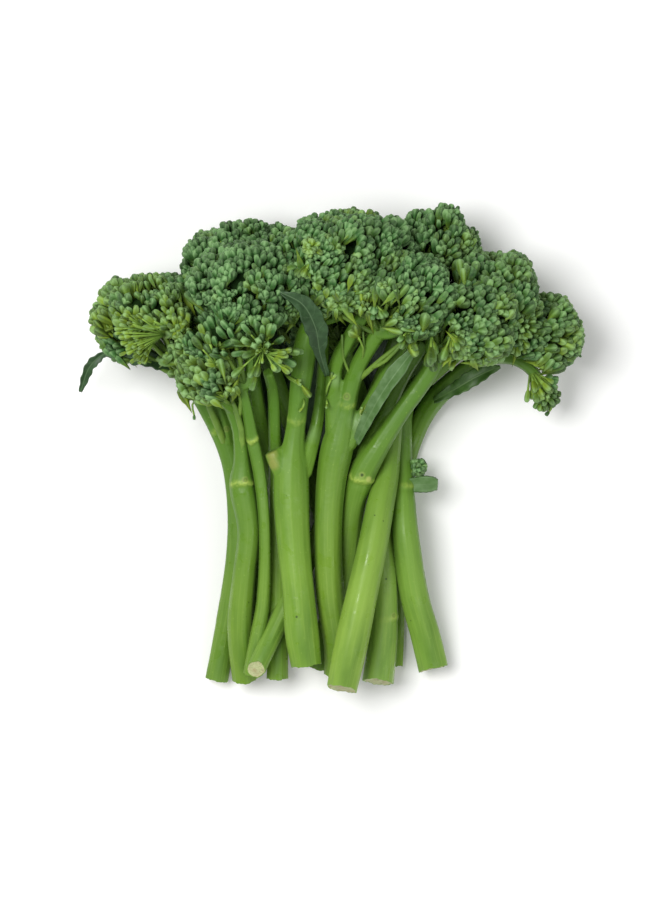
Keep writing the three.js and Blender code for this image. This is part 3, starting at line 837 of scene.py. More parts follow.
        marks=(Mark((11.2, -8.8), 0.9, MarkKind.HOLE), Mark((13.6, -10.2), 0.8, MarkKind.PALE)),
    ),
    Spear(
        "10",
        ((17, -82, 14, 5.6), (19, -64, 15.2, 5.2), (19.2, -47, 16.5, 4.9), (18, -28, 15.6, 4.5),
         (17, -8, 11, 4.2), (15, 2, 9.3, 4), (12.6, 11, 9.6, 3.8), (7, 28, 12.5, 3.4), (3, 39, 15, 3)),
        15,
        HeadForm((0, 52, 18.6), (20, 18.5, 19.5), 2, BudHabit.TIGHT, yellow=0.2),
        rings=(NodeRing(-59, 10, 0.7),),
        # painted light: this stalk's green is made lighter for the highlight that it shows
        fresh="#81a544",
        marks=(Mark((22.6, -58.4), 0.9, MarkKind.SCAR), Mark((19.8, -45.4), 0.5, MarkKind.SPECK)),
    ),
    Spear(
        "11",
        ((36.7, -77.6, 7.5, 5.2), (33.8, -65.8, 11, 5.3), (29.6, -50.8, 16, 5.1), (26.4, -28, 20, 4.4),
         (26, -19, 18, 4.1), (25.5, -8, 13, 3.9), (25.4, 2, 11, 3.6), (26, 14, 11.2, 3.3),
         (31, 27, 11.5, 3.1), (37, 37, 13, 2.8)),
        20,
        HeadForm((46, 51, 15), (18.5, 17, 17.5), 2, BudHabit.TIGHT, yellow=0.2),
        rings=(NodeRing(-13.7, 20, 0.8),),
        fresh="#779c3a",
        marks=(Mark((28.5, -60.2), 0.45, MarkKind.SPECK),),
    ),
    Spear(
        "12",
        ((22.4, -76.6, 4.4, 3.4), (23.6, -50, 5.5, 3.4), (25.6, -28, 6.5, 3.4), (27.4, -4, 4.4, 3.3),
         (30.2, 5.4, 5, 3.6), (33.8, 13.4, 8.2, 3.9), (39.4, 20.6, 12, 3.9), (54.6, 32.2, 18, 3.2),
         (68, 36.5, 22.5, 2.6)),
        0,
        HeadForm(
            (77.2, 41.8, 26), (11.5, 12.6, 16), 1, BudHabit.LOOSE, yellow=0.4, underside=112,
            sprays=(Spray((66.5, 43.5, 39), (0.3, 0.3, 0.9), 72, 18, (5.5, 8), (3.6, 1.05), 0.6),
                    Spray((64.5, 40.5, 39), (0.3, -0.8, 0.5), 50, 16, (5, 8.5), (3.6, 1.05), 0.75),
                    Spray((78.5, 33.5, 26), (0.35, -1, 0.15), 42, 22, (3.5, 7), (3.8, 1), 0.75)),
            more=((63, 50, 45, 5.4), (69.5, 50, 41, 5)),
            strays=(Stray(((85.5, 36, 24), (87.6, 33.6, 24)), (1.4, 0.4), 0.2),),
        ),
        (((56, 32.6, 18.5, 2.6), (65, 32, 21, 2.4), (71.3, 27.8, 21, 2.3), (74.4, 23, 20.5, 2.4)),),
    ),
    Spear(
        "13",
        ((-14, -68, 4.2, 4.1), (-15, -40, 7.5, 4), (-18, -15, 11.4, 3.8), (-24, 5, 18, 3.5),
         (-26.5, 20, 28, 3.2), (-28, 34, 36, 3), (-29, 44, 41, 2.9)),
        0,
        HeadForm(
            (-29, 57, 46), (21.5, 15.5, 18.5), 2, BudHabit.TIGHT, yellow=0.12,
            more=((-12, 62, 50, 5.6), (-12.5, 54, 47, 5.2), (-13, 70.5, 48, 5)),
        ),
    ),
    Spear(
        "14",
        ((8, -70, 3.9, 4), (2, -40, 5.2, 3.9), (-6, -10, 7.5, 3.7), (-17, 18, 11.5, 3.4),
         (-24.5, 40, 16.5, 3), (-29, 52, 19, 2.8)),
        0,
        HeadForm(
            (-31, 61.6, 22), (24, 19.6, 19), 2, BudHabit.TIGHT, yellow=0.05,
            more=((-49.6, 65.6, 27, 5.4), (-42.8, 73.4, 30, 5.6), (-35, 75.5, 32, 5)),
        ),
    ),
    Spear(
        "15",
        ((-25, -62, 3.7, 3.8), (-26, -28, 5.2, 3.7), (-28.5, -5, 7.5, 3.5), (-34, 15, 10.5, 3.2),
         (-41, 32, 14, 2.9)),
        0,
        HeadForm((-49, 46, 17), (19, 18, 20.5), 2, BudHabit.TIGHT, yellow=0.2),
    ),
)


@dataclass(frozen=True)
class Coat:
    """A colour that comes in over those below it as a pattern goes from one value to another."""

    pattern: bpy.types.NodeSocket
    tint: str | bpy.types.NodeSocket
    low: float = 0.0
    high: float = 1.0
    at_low: float = 0.0  # how far it covers what is below it where the pattern is low
    at_high: float = 1.0  # and where it is high


def paint_input(colour: str | bpy.types.NodeSocket) -> tuple[float, ...] | bpy.types.NodeSocket:
    """A hex colour made linear, or a socket as it is."""
    return linear(colour) if isinstance(colour, str) else colour


def lay_coats(
    tree: bpy.types.NodeTree, ground: str | bpy.types.NodeSocket, coats: Sequence[Coat]
) -> bpy.types.NodeSocket:
    """Lays coats of colour over each other.

    Args:
        tree: the material's node tree.
        ground: the colour that the first coat covers.
        coats: the coats, from the lowest up.

    Returns:
        The colour that they make together.
    """
    colour = paint_input(ground)
    for coat in coats:
        cover = add_node(
            tree, "MapRange",
            {"Value": coat.pattern, "From Min": coat.low, "From Max": coat.high, "To Min": coat.at_low,
             "To Max": coat.at_high},
        ).outputs["Result"]
        colour = add_node(
            tree, "Mix", {MIX_FACTOR: cover, MIX_A: colour, MIX_B: paint_input(coat.tint)}, data_type="RGBA"
        ).outputs[MIX_RESULT]
    return colour


def sized(place: bpy.types.NodeSocket, size: float, **inputs: float) -> dict[str, object]:
    """The inputs of a pattern whose features are a real size in millimetres."""
    return {"Vector": place, "Scale": 1 / (size * MM), **inputs}


class Finish:
    """What all finishes share: a material with one shader, fed by the nodes that the finish lays."""

    name: str

    def lay(self, tree: bpy.types.NodeTree) -> dict[str, object]:
        """Lays the nodes.

        Args:
            tree: the material's empty tree.

        Returns:
            What goes into the shader.
        """
        raise NotImplementedError

    def build(self) -> bpy.types.Material:
        """Makes the material.

        Returns:
            The material.
        """
        material = bpy.data.materials.new(self.name)
        material.use_nodes = True
        tree = material.node_tree
        tree.nodes.clear()
        shader = add_node(tree, "BsdfPrincipled", self.lay(tree))
        add_node(tree, "OutputMaterial", {"Surface": shader.outputs["BSDF"]})
        return material


@dataclass(frozen=True)
class StalkSkin(Finish):
    """Broccoli stalk skin: a grown green skin under a thin natural wax.

    The eye sees fine lengthwise fibres, slow changes from fresh to deeper green, painted shade that darkens
    the green towards the head, grey wax in the forks, pale lines at the nodes, pale pores, scars and wet
    highlights.
    """

    name: str = "waxy_stalk_skin"
    marks: tuple[tuple[Mark, Vector], ...] = ()  # with their places on the skin in metres
    fresh: str = "#71952d"
    deep: str = "#456c1e"
    sunny: str = "#8eac4b"
    # painted shade: the green that the skin turns to towards the head, where the heads shade it
    shaded: str = "#4a7420"
    wax: str = "#86a86a"
    ring: str = "#9cb44e"
    scar: str = "#2c4214"
    pale: str = "#a9b35f"
    dry: str = "#8f9149"
    haze: str = "#c9d8bd"
    roughness: float = 0.5
    wet_roughness: float = 0.2
    fibre_gap: float = 0.55  # mm round the stalk
    fibre_repeat: float = 0.035  # how often a fibre changes in each mm along the stalk
    pore_gap: float = 2.4  # mm
    dimple: float = 1.4  # mm
    wet_patch: float = 6.0  # mm
    blotch: tuple[float, float] = (7.0, 30.0)  # mm round and along the stalk
    wander: float = 0.35  # mm that a mark's edge strays

    def mark_tints(self, kind: MarkKind) -> dict[str, tuple[float, float, float, float]]:
        """Says how a mark is coloured from its middle outwards.

        Args:
            kind: what the mark is.

        Returns:
            For each colour, where it starts and ends, as shares of the mark's radius, and how strong it is
            at both.
        """
        pale = {self.pale: (0.9, 1.6, 0.3, 0.0)}
        return {
            MarkKind.SCAR: pale | {self.scar: (0.7, 1.05, 0.42, 0.0), self.fresh: (0.25, 0.6, 0.6, 0.0)},
            MarkKind.HOLE: pale | {self.scar: (0.4, 0.9, 0.95, 0.0)},
            MarkKind.SPECK: {self.scar: (0.4, 1.0, 0.85, 0.0)},
            MarkKind.PALE: {self.pale: (0.8, 1.7, 0.7, 0.0)},
            MarkKind.WAX: {self.wax: (0.1, 1.4, 0.5, 0.0)},
            MarkKind.DRY: {self.dry: (0.5, 1.3, 0.7, 0.0)},
        }[kind]

    def lay(self, tree: bpy.types.NodeTree) -> dict[str, object]:
        """Lays the nodes.

        Args:
            tree: the empty tree.

        Returns:
            What goes into the shader.
        """
        grain = add_node(tree, "Attribute", attribute_name="grain").outputs["Vector"]
        upper = add_node(tree, "Attribute", attribute_name="upper").outputs["Fac"]
        ring = add_node(tree, "Attribute", attribute_name="ring").outputs["Fac"]
        place = add_node(tree, "TexCoord").outputs["Object"]
        thread, (across, along) = 1 / self.fibre_gap, self.blotch
        threads = add_node(
            tree, "Mapping", {"Vector": grain, "Scale": (thread, thread, self.fibre_repeat)}
        ).outputs["Vector"]
        streaks = add_node(
            tree, "Mapping", {"Vector": grain, "Scale": (1 / across, 1 / across, 1 / along)}
        ).outputs["Vector"]
        fibres = add_node(tree, "TexNoise", {"Vector": threads, "Scale": 1.0, "Detail": 2.0}).outputs["Fac"]
        slow = add_node(tree, "TexNoise", {"Vector": streaks, "Scale": 1.0, "Detail": 3.0}).outputs["Fac"]
        fine = add_node(tree, "TexNoise", sized(place, self.dimple, Detail=2.0)).outputs["Fac"]
        patches = add_node(tree, "TexNoise", sized(place, self.wet_patch, Detail=2.0)).outputs["Fac"]
        pores = add_node(tree, "TexVoronoi", sized(place, self.pore_gap)).outputs["Distance"]
        broken = add_node(
            tree, "MapRange", {"Value": fine, "From Min": 0.3, "From Max": 0.6, "To Min": 0.2}
        ).outputs["Result"]
        coats = [
            Coat(slow, self.deep, 0.4, 0.7, at_high=0.7),
            Coat(fibres, self.sunny, 0.5, 0.78, at_high=0.42),
            # painted shade: the skin darkens towards the head through the attribute "upper"
            Coat(upper, self.shaded),
            Coat(pores, self.sunny, 0.05, 0.12, 0.4, 0.0),
            Coat(add_node(tree, "Math", {0: ring, 1: broken}, operation="MULTIPLY").outputs[0], self.ring),
        ]
        stray = add_node(
            tree, "MapRange", {"Value": fine, "To Min": -self.wander * MM, "To Max": self.wander * MM}
        ).outputs["Result"]
        for mark, spot in self.marks:
            away = add_node(tree, "VectorMath", {0: place, 1: spot}, operation="DISTANCE").outputs["Value"]
            away = add_node(tree, "Math", {0: away, 1: stray}, operation="ADD").outputs[0]
            radius = mark.radius * MM
            for tint, (start, end, middle, edge) in self.mark_tints(mark.kind).items():
                coats.append(Coat(away, tint, radius * start, radius * end, middle, edge))
        gloss = add_node(
            tree, "MapRange",
            {"Value": patches, "From Min": 0.54, "From Max": 0.66, "To Min": self.roughness,
             "To Max": self.wet_roughness},
        ).outputs["Result"]
        relief = add_node(tree, "Bump", {"Height": fibres, "Strength": 0.3, "Distance": 0.15 * MM})
        uneven = add_node(
            tree, "Bump",
            {"Height": fine, "Strength": 0.4, "Distance": 0.2 * MM, "Normal": relief.outputs["Normal"]},
        )
        return {
            "Base Color": lay_coats(tree, self.fresh, coats), "Roughness": gloss, "IOR": 1.42,
            "Normal": uneven.outputs["Normal"], "Specular IOR Level": 0.42, "Sheen Weight": 0.03,
            "Sheen Roughness": 0.45, "Sheen Tint": linear(self.haze),
        }


@dataclass(frozen=True)
class CutPith(Finish):
    """The cut end of a stalk: knife-cut moist pith with a few fibres, drying pale.

    The eye sees cream green, darker pinpricks of fibres and no gloss.
    """

    name: str = "knife_cut_pith"
    pale: str = "#b9bd8d"
    green: str = "#94a566"
    dry: str = "#a08f66"
    fibre_gap: float = 0.7  # mm
    dry_patch: float = 3.0  # mm

    def lay(self, tree: bpy.types.NodeTree) -> dict[str, object]:
        """Lays the nodes.

        Args:
            tree: the empty tree.

        Returns:
            What goes into the shader.
        """
        place = add_node(tree, "TexCoord").outputs["Object"]
        cells = add_node(tree, "TexVoronoi", sized(place, self.fibre_gap)).outputs["Distance"]
        patches = add_node(tree, "TexNoise", sized(place, self.dry_patch, Detail=3.0)).outputs["Fac"]
        coats = (
            Coat(cells, self.green, 0.1, 0.5, 0.8, 0.1),
            Coat(patches, self.dry, 0.46, 0.66, at_high=0.75),
        )
        relief = add_node(tree, "Bump", {"Height": cells, "Strength": 0.5, "Distance": 0.2 * MM})
        return {
            "Base Color": lay_coats(tree, self.pale, coats), "Roughness": 0.7,
            "Normal": relief.outputs["Normal"],
        }


@dataclass(frozen=True)
class BudSkin(Finish):
    """Unopened flower buds: four closed sepals under a blue-grey wax bloom.

    The eye sees blue-green tips that pale where the wax is thick, yellow green towards the stem and no gloss,
    with painted highlights on lit sepal ridges, painted shade in their grooves and on buds deep in the head,
    and a darker base that is partly painted shade between the buds. The attribute "tone" holds each bud's
    shade (a random tone with that painted light and shade), the height on the bud and how yellow that part
    of the head is.
    """

    name: str = "waxy_flower_buds"
    waxy: str = "#447538"
    mid: str = "#2b571d"
    # the bud's base and stem: a darker green that is partly painted shade between the buds
    foot: str = "#355814"
    yellow: str = "#96b332"
    # painted shade of buds deep in the head and in the sepal grooves, also the darker random buds
    dark: str = "#0d2307"
    # the pale wax of the tips and the bloom, also the painted highlight on lit sepal ridges
    pale: str = "#8ab075"
    roughness: float = 0.62
    blotch: float = 11.0  # mm
    bloom_grain: float = 0.9  # mm

    def lay(self, tree: bpy.types.NodeTree) -> dict[str, object]:
        """Lays the nodes.

        Args:
            tree: the empty tree.

        Returns:
            What goes into the shader.
        """
        tone = add_node(tree, "Attribute", attribute_name="tone").outputs["Vector"]
        parts = add_node(tree, "SeparateXYZ", {"Vector": tone}).outputs
        shade, height, yellow = parts["X"], parts["Y"], parts["Z"]
        place = add_node(tree, "TexCoord").outputs["Object"]
        slow = add_node(tree, "TexNoise", sized(place, self.blotch, Detail=2.0)).outputs["Fac"]
        fine = add_node(tree, "TexNoise", sized(place, self.bloom_grain, Detail=3.0)).outputs["Fac"]
        foot = lay_coats(tree, self.foot, [Coat(yellow, self.yellow)])
        body = lay_coats(
            tree, self.waxy,
            (
                Coat(slow, self.mid, 0.35, 0.65, at_high=0.8),
                Coat(yellow, self.yellow, 0.25, 1.0, at_high=0.75),
            ),
        )
        coats = (
            # the darker base, partly painted shade, gives way to the body half way up the bud
            Coat(height, body, 0.0, 0.5),
            Coat(height, self.pale, 0.6, 1.0, at_high=0.62),
            # painted shade where the tone is low, painted highlight where a lit sepal ridge makes it high
            Coat(shade, self.dark, at_low=0.75, at_high=0.0),
            Coat(shade, self.pale, 0.9, 1.4, at_high=0.45),
            Coat(fine, self.pale, 0.52, 0.75, at_high=0.2),
        )
        relief = add_node(tree, "Bump", {"Height": fine, "Strength": 0.35, "Distance": 0.25 * MM})
        return {
            "Base Color": lay_coats(tree, foot, coats), "Roughness": self.roughness, "IOR": 1.35,
            "Normal": relief.outputs["Normal"],
        }


@dataclass(frozen=True)
class FloretStem(Finish):
    """The young branches and bud stems inside a head: thin, smooth and yellow green.

    The eye sees a fresh lighter green than the stalk, with painted shade that darkens it deep in the head.
    """

    name: str = "young_floret_stems"
    fresh: str = "#88ab42"
    # painted shade deep in the head, also the colour of the mottling
    shaded: str = "#36581c"
    mottling: float = 2.5  # mm

    def lay(self, tree: bpy.types.NodeTree) -> dict[str, object]:
        """Lays the nodes.

        Args:
            tree: the empty tree.

        Returns:
            What goes into the shader.
        """
        tone = add_node(tree, "Attribute", attribute_name="tone").outputs["Vector"]
        light = add_node(tree, "SeparateXYZ", {"Vector": tone}).outputs["Y"]
        place = add_node(tree, "TexCoord").outputs["Object"]
        mottle = add_node(tree, "TexNoise", sized(place, self.mottling, Detail=3.0)).outputs["Fac"]
        # painted shade: the shaded green where the tone is low, towards a stem's foot deep in the head
        coats = (Coat(light, self.fresh), Coat(mottle, self.shaded, 0.4, 0.7, at_high=0.35))
        relief = add_node(tree, "Bump", {"Height": mottle, "Strength": 0.3, "Distance": 0.2 * MM})
        return {
            "Base Color": lay_coats(tree, self.shaded, coats), "Roughness": 0.5, "IOR": 1.42,
            "Normal": relief.outputs["Normal"],
        }


@dataclass(frozen=True)
class HeadShade(Finish):
    """The crowded inside of a head, grown too tight to see single pieces, made a dark sheet of painted shade.

    The eye sees only a deep rough green in the gaps between the buds, painted shade in lighter and darker
    patches.
    """

    name: str = "shaded_head_inside"
    deep: str = "#0d1c07"
    lit: str = "#1f3a14"
    crowding: float = 2.2  # mm

    def lay(self, tree: bpy.types.NodeTree) -> dict[str, object]:
        """Lays the nodes.

        Args:
            tree: the empty tree.

        Returns:
            What goes into the shader.
        """
        place = add_node(tree, "TexCoord").outputs["Object"]
        crowd = add_node(tree, "TexVoronoi", sized(place, self.crowding)).outputs["Distance"]
        relief = add_node(tree, "Bump", {"Height": crowd, "Strength": 0.8, "Distance": 1.0 * MM})
        return {
            "Base Color": lay_coats(tree, self.lit, [Coat(crowd, self.deep)]), "Roughness": 0.9,
            "Specular IOR Level": 0.1, "Normal": relief.outputs["Normal"],
        }


@dataclass(frozen=True)
class LeafBlade(Finish):
    """A young brassica leaf: a thin grown blade under blue-grey wax with a raised net of veins.

    The eye sees a dark blue green that is chalky in places, a pale midrib, and side veins as thin paler
    lines. The attribute "blade" holds the distance across and along the leaf in millimetres.
    """

    name: str
    green: str = "#294424"
    chalk: str = "#3c5a36"
    vein: str = "#54704a"
    vein_gap: float = 3.4  # mm along the midrib
    vein_share: float = 0.3  # how much paler the side veins are than the blade
    midrib_share: float = 0.8
    roughness: float = 0.46
    vein_slant: float = -1.1  # how far side veins run back for each mm across
    vein_wander: float = 2.0  # mm
    wax_patch: float = 3.0  # mm

    def lay(self, tree: bpy.types.NodeTree) -> dict[str, object]:
        """Lays the nodes.

        Args:
            tree: the empty tree.

        Returns:
            What goes into the shader.
        """
        blade = add_node(tree, "Attribute", attribute_name="blade").outputs["Vector"]
        parts = add_node(tree, "SeparateXYZ", {"Vector": blade}).outputs
        place = add_node(tree, "TexCoord").outputs["Object"]
        across = add_node(tree, "Math", {0: parts["X"]}, operation="ABSOLUTE").outputs[0]
        rise = add_node(
            tree, "Math", {0: across, 1: self.vein_slant, 2: parts["Y"]}, operation="MULTIPLY_ADD"
        ).outputs[0]
        waves = add_node(tree, "TexNoise", {"Vector": blade, "Scale": 0.5, "Detail": 1.0}).outputs["Fac"]
        bent = add_node(
            tree, "Math", {0: waves, 1: self.vein_wander, 2: rise}, operation="MULTIPLY_ADD"
        ).outputs[0]
        beside = add_node(tree, "Math", {0: bent, 1: self.vein_gap}, operation="PINGPONG").outputs[0]
        side_vein, midrib = (
            add_node(
                tree, "MapRange",
                {"Value": away, "From Min": start, "From Max": end, "To Min": strength, "To Max": 0.0},
            ).outputs["Result"]
            for away, start, end, strength in (
                (beside, 0.0, 0.3, self.vein_share), (across, 0.1, 0.35, self.midrib_share),
            )
        )
        veins = add_node(tree, "Math", {0: side_vein, 1: midrib}, operation="MAXIMUM").outputs[0]
        wax = add_node(tree, "TexNoise", sized(place, self.wax_patch, Detail=4.0)).outputs["Fac"]
        coats = (Coat(wax, self.chalk, 0.42, 0.68, at_high=0.85), Coat(veins, self.vein))
        relief = add_node(tree, "Bump", {"Height": veins, "Strength": 0.6, "Distance": 0.3 * MM})
        return {
            "Base Color": lay_coats(tree, self.green, coats), "Roughness": self.roughness, "IOR": 1.42,
            "Normal": relief.outputs["Normal"],
        }


@dataclass(frozen=True)
class WhiteBoard(Finish):
    """Matt painted board, rolled on: the pale floor under the bunch.

    The eye sees an even near-white with hardly any texture.
    """

    name: str = "matt_white_board"
    paint: str = "#f7f7f6"
    grain: float = 2.0  # mm

    def lay(self, tree: bpy.types.NodeTree) -> dict[str, object]:
        """Lays the nodes.

        Args:
            tree: the empty tree.

        Returns:
            What goes into the shader.
        """
        place = add_node(tree, "TexCoord").outputs["Object"]
        grain = add_node(tree, "TexNoise", sized(place, self.grain)).outputs["Fac"]
        relief = add_node(tree, "Bump", {"Height": grain, "Strength": 0.05, "Distance": 0.1 * MM})
        return {"Base Color": linear(self.paint), "Roughness": 0.9, "Normal": relief.outputs["Normal"]}


@dataclass
class Stalk:
    """The stalk of one spear with its branches, fused as they grew, cut off at the foot."""

    spear: Spear
    sides: int = 18
    branch_sides: int = 12
    ring_gap: float = 1.8
    voxel: float = 0.5
    triangles: int = 11000
    foot_extra: float = 5.0  # grown beyond the cut, then cut away
    cut_steps: tuple[tuple[float, float], ...] = ((0.9, 0.05), (0.82, 0.25), (0.6, -0.1))  # share, depth
    cut_corners: int = 8  # the face that closes the cut has more corners than this
    rim_depth: float = 0.4  # how near the cut the rim's points are
    rim_height: float = 0.175
    fork_drop: float = 6.0
    fork_rise: float = 3.0
    fork_sag: float = 1.5
    fork_spread: tuple[float, float] = (0.5, 0.4)  # shares of the head's half sizes across and in depth
    fork_radii: tuple[float, float, float] = (2.04, 1.7, 1.36)
    samples: int = 160  # places on each limb that the skin's points are measured from
    ribs: tuple[tuple[float, int, float], ...] = ((0.10, 5, 0.012), (0.05, 11, -0.02))  # height, count, twist
    bulge: tuple[float, float] = (0.14, 8.5)  # height, and how long it is
    oval: tuple[float, float] = (0.12, 60.0)  # height, and how far along it turns
    ring_height: float = 0.32
    ring_width: float = 1.1
    ring_slant: float = 0.5
    ring_sides: tuple[float, float] = (0.35, 0.65)  # strength all round, and more on the side it faces
    groove: tuple[float, float, float] = (1.7, 0.2, 0.8)  # place under a ring, depth and width
    tint_width: float = 0.9
    tint_most: float = 0.9
    girth: tuple[float, float] = (5.0, 2.5)  # of the fibres' pattern, at the foot and under the head
    full_height: float = 160.0  # distance from the foot to the heads
    limb_shift: float = 37.0  # sets each limb's fibres apart from the others'
    shaded: float = 0.8  # painted shade: how dark the stalk is made at its head, where the heads shade it
    shade_reach: tuple[float, float] = (10.0, 120.0)  # distances from the head between which that fades
    smooth_angle: float = 40.0
    limbs: list[Route] = field(default_factory=list)

    def crown_forks(self) -> list[list[RoutePoint]]:
        """Works out the short branches under the head, as the CAD model does.

        Returns:
            The points of each branch.
        """
        spear = self.spear
        top, axis = spear.top(), spear.axis()
        side = unit(np.cross(axis, UP))
        above = np.cross(side, axis)
        start = top - axis * self.fork_drop
        wide, deep = self.fork_spread
        forks = []
        for k in range(spear.head.forks):
            turn = k / spear.head.forks * 2 * math.pi + float(spear.number)
            spread = side * math.cos(turn) * spear.head.half[0] * wide
            spread = spread + above * math.sin(turn) * spear.head.half[2] * deep
            end = top + axis * self.fork_rise + spread
            middle = (start + end) / 2 - axis * self.fork_sag
            forks.append([(*place, size) for place, size in zip((start, middle, end), self.fork_radii)])
        return forks

    def grow(self) -> bpy.types.Object:
        """Models the limbs and fuses them into one skin.

        Returns:
            The fused stalk, longer than it will be once it is cut.
        """
        spear = self.spear
        foot = np.array(spear.stalk[0])
        back = unit(foot[:3] - np.array(spear.stalk[1][:3])) * self.foot_extra
        routes = [[(*(foot[:3] + back), foot[3]), *spear.stalk], *spear.branches, *self.crown_forks()]
        pieces = []
        for index, points in enumerate(routes):
            route = Route(points)
            self.limbs.append(route)
            sides = self.sides if index == 0 else self.branch_sides
            rod = straight_rod(sides, round(route.length() / self.ring_gap))
            move_points(rod, route.lay(points_of(rod) * MM))
            pieces.append(rod)
        select_only(*pieces)
        bpy.ops.object.join()
        stalk = bpy.context.active_object
        stalk.name = f"spear_{spear.number}_stem"
        apply_modifier(stalk, "REMESH", mode="VOXEL", voxel_size=self.voxel * MM)
        apply_modifier(stalk, "SMOOTH", factor=0.5, iterations=7)
        return stalk

    def chart(self, points: np.ndarray) -> tuple[np.ndarray, np.ndarray, np.ndarray, np.ndarray]:
        """Finds where each point of the skin is on the limb that it belongs to.

        Args:
            points: the skin's vertices.

        Returns:
            The distance from the foot, the angle round the limb, the direction out of the limb, and the
            number of the limb.
        """
        trunk = self.limbs[0]
        shares = np.linspace(0, 1, self.samples)
        trunk_places, trunk_far = trunk.at(shares)[:, :3], trunk.distances(shares)
        samples = []
        for number, route in enumerate(self.limbs):
            centre, size, along, side, above = route.frames(shares)
            nearest = np.argmin(np.linalg.norm(trunk_places - centre[0], axis=1))
            begin = 0.0 if number == 0 else trunk_far[nearest]
            far = begin + route.distances(shares)
            label = np.full(len(shares), float(number))
            samples.append(np.column_stack([centre, size, along, side, above, far, label]))
        table = np.concatenate(samples)
        spots = table[:, :3]
        squares = (points**2).sum(1)[:, None] + (spots**2).sum(1)[None] - 2 * points @ spots.T
        gaps = np.sqrt(np.maximum(squares, 0)) - table[:, 3]
        nearest = table[np.argmin(gaps, axis=1)]
        along, side, above = nearest[:, 4:7], nearest[:, 7:10], nearest[:, 10:13]
        far, limb = nearest[:, 13], nearest[:, 14]
        offset = points - nearest[:, :3]
        ahead = (offset * along).sum(1)
        outwards = offset - along * ahead[:, None]
        angle = np.arctan2((outwards * above).sum(1), (outwards * side).sum(1))
        return far + ahead, angle, unit(outwards), limb

    def ring_places(self) -> list[tuple[float, NodeRing]]:
        """Finds the node rings on the trunk.

        Returns:
            Each ring's distance from the foot, with the ring.
        """
        shares = np.linspace(0, 1, self.samples)
        heights, far = self.limbs[0].at(shares)[:, 1], self.limbs[0].distances(shares)
        return [(float(np.interp(ring.y, heights, far)), ring) for ring in self.spear.rings]

    def ring_marks(self, far: np.ndarray, angle: np.ndarray, limb: np.ndarray, width: float) -> np.ndarray:
        """How strongly each point is part of a node ring.

        Args:
            far: distance from the foot.
            angle: angle round the limb.
            limb: number of the limb.
            width: half width of a ring.

        Returns:
            A number from 0 up for each point.
        """
        marks = np.zeros(len(far))
        all_round, one_side = self.ring_sides
        for place, ring in self.ring_places():
            slant = self.ring_slant * np.sin(angle * 2 + ring.y)
            facing = np.clip(all_round + one_side * np.cos(angle - math.radians(ring.facing)), 0, 1)
            marks += ring.strength * facing * np.exp(-(((far - place + slant) / width) ** 2)) * (limb == 0)
        return marks

    def relief(self, stalk: bpy.types.Object, draw: np.random.Generator) -> None:
        """Raises the ribs, slow bulges and node rings from the skin.

        Args:
            stalk: the fused stalk.
            draw: the seeded random source.
        """
        points = points_of(stalk)
        far, angle, outwards, limb = self.chart(points)
        phases = draw.uniform(0, 2 * math.pi, 4)
        height = np.zeros(len(far))
        for (tall, count, twist), phase in zip(self.ribs, phases):
            height += tall * np.sin(count * angle + phase + far * twist)
        (bulge, bulge_length), (oval, oval_length) = self.bulge, self.oval
        height += bulge * np.sin(far / bulge_length + phases[2]) + oval * np.cos(
            2 * angle + phases[3] + far / oval_length
        )
        marks = self.ring_marks(far, angle, limb, self.ring_width)
        below, depth, width = self.groove
        height += self.ring_height * marks - depth * self.ring_marks(far + below, angle, limb, width)
        move_points(stalk, points + outwards * height[:, None])

    def cut_foot(self, stalk: bpy.types.Object) -> None:
        """Cuts the foot off at its tilt and models the rind's rim and the dished pith.

        Args:
            stalk: the stalk, which already has both materials.
        """
        centre, _, along, _, above = Route(self.spear.stalk).frames(np.array([0.0]))
        normal = unit(along[0] - above[0] * math.tan(math.radians(self.spear.cut)))
        select_only(stalk)
        bpy.ops.object.mode_set(mode="EDIT")
        bpy.ops.mesh.select_mode(type="FACE")
        bpy.ops.mesh.select_all(action="SELECT")
        bpy.ops.mesh.bisect(plane_co=centre[0] * MM, plane_no=normal, use_fill=True, clear_inner=True)
        bpy.ops.mesh.select_all(action="DESELECT")
        bpy.ops.object.mode_set(mode="OBJECT")
        for face in stalk.data.polygons:
            face.select = len(face.vertices) > self.cut_corners
        bpy.ops.object.mode_set(mode="EDIT")
        for share, depth in self.cut_steps:
            bpy.ops.mesh.extrude_region_move(TRANSFORM_OT_translate={"value": normal * depth * MM})
            bpy.ops.transform.resize(value=(share, share, share), center_override=centre[0] * MM)
        bpy.ops.mesh.select_more()
        bpy.ops.mesh.select_more()
        stalk.active_material_index = 1
        bpy.ops.object.material_slot_assign()
        bpy.ops.mesh.select_all(action="DESELECT")
        bpy.ops.object.mode_set(mode="OBJECT")
        points = points_of(stalk)
        offset = points - centre[0]
        near = np.abs(offset @ normal) < self.rim_depth
        turn = np.arctan2(offset @ above[0], offset @ np.cross(normal, above[0]))
        rough = np.sin(3 * turn + self.spear.cut) + 0.6 * np.sin(8 * turn) + 0.5 * np.sin(19 * turn + 1)
        move_points(stalk, points + normal * (near * rough * self.rim_height)[:, None])

    def dress(self, stalk: bpy.types.Object) -> None:
        """Keeps what the skin's material needs at each vertex.

        Args:
            stalk: the finished stalk.
        """
        points = points_of(stalk)
        far, angle, _, limb = self.chart(points)
        size = np.interp(far, (0, self.full_height), self.girth)
        height = far + limb * self.limb_shift
        paint(stalk, "grain", np.column_stack([np.cos(angle) * size, np.sin(angle) * size, height]))
        to_head = np.linalg.norm(points - self.spear.top(), axis=1)
        rings = self.ring_marks(far, angle, limb, self.tint_width)
        # painted shade: darker towards the head, fading out between the two distances of shade_reach
        paint(stalk, "upper", self.shaded * (1 - smoothstep(to_head, *self.shade_reach)))
        paint(stalk, "ring", np.clip(rings, 0, self.tint_most))

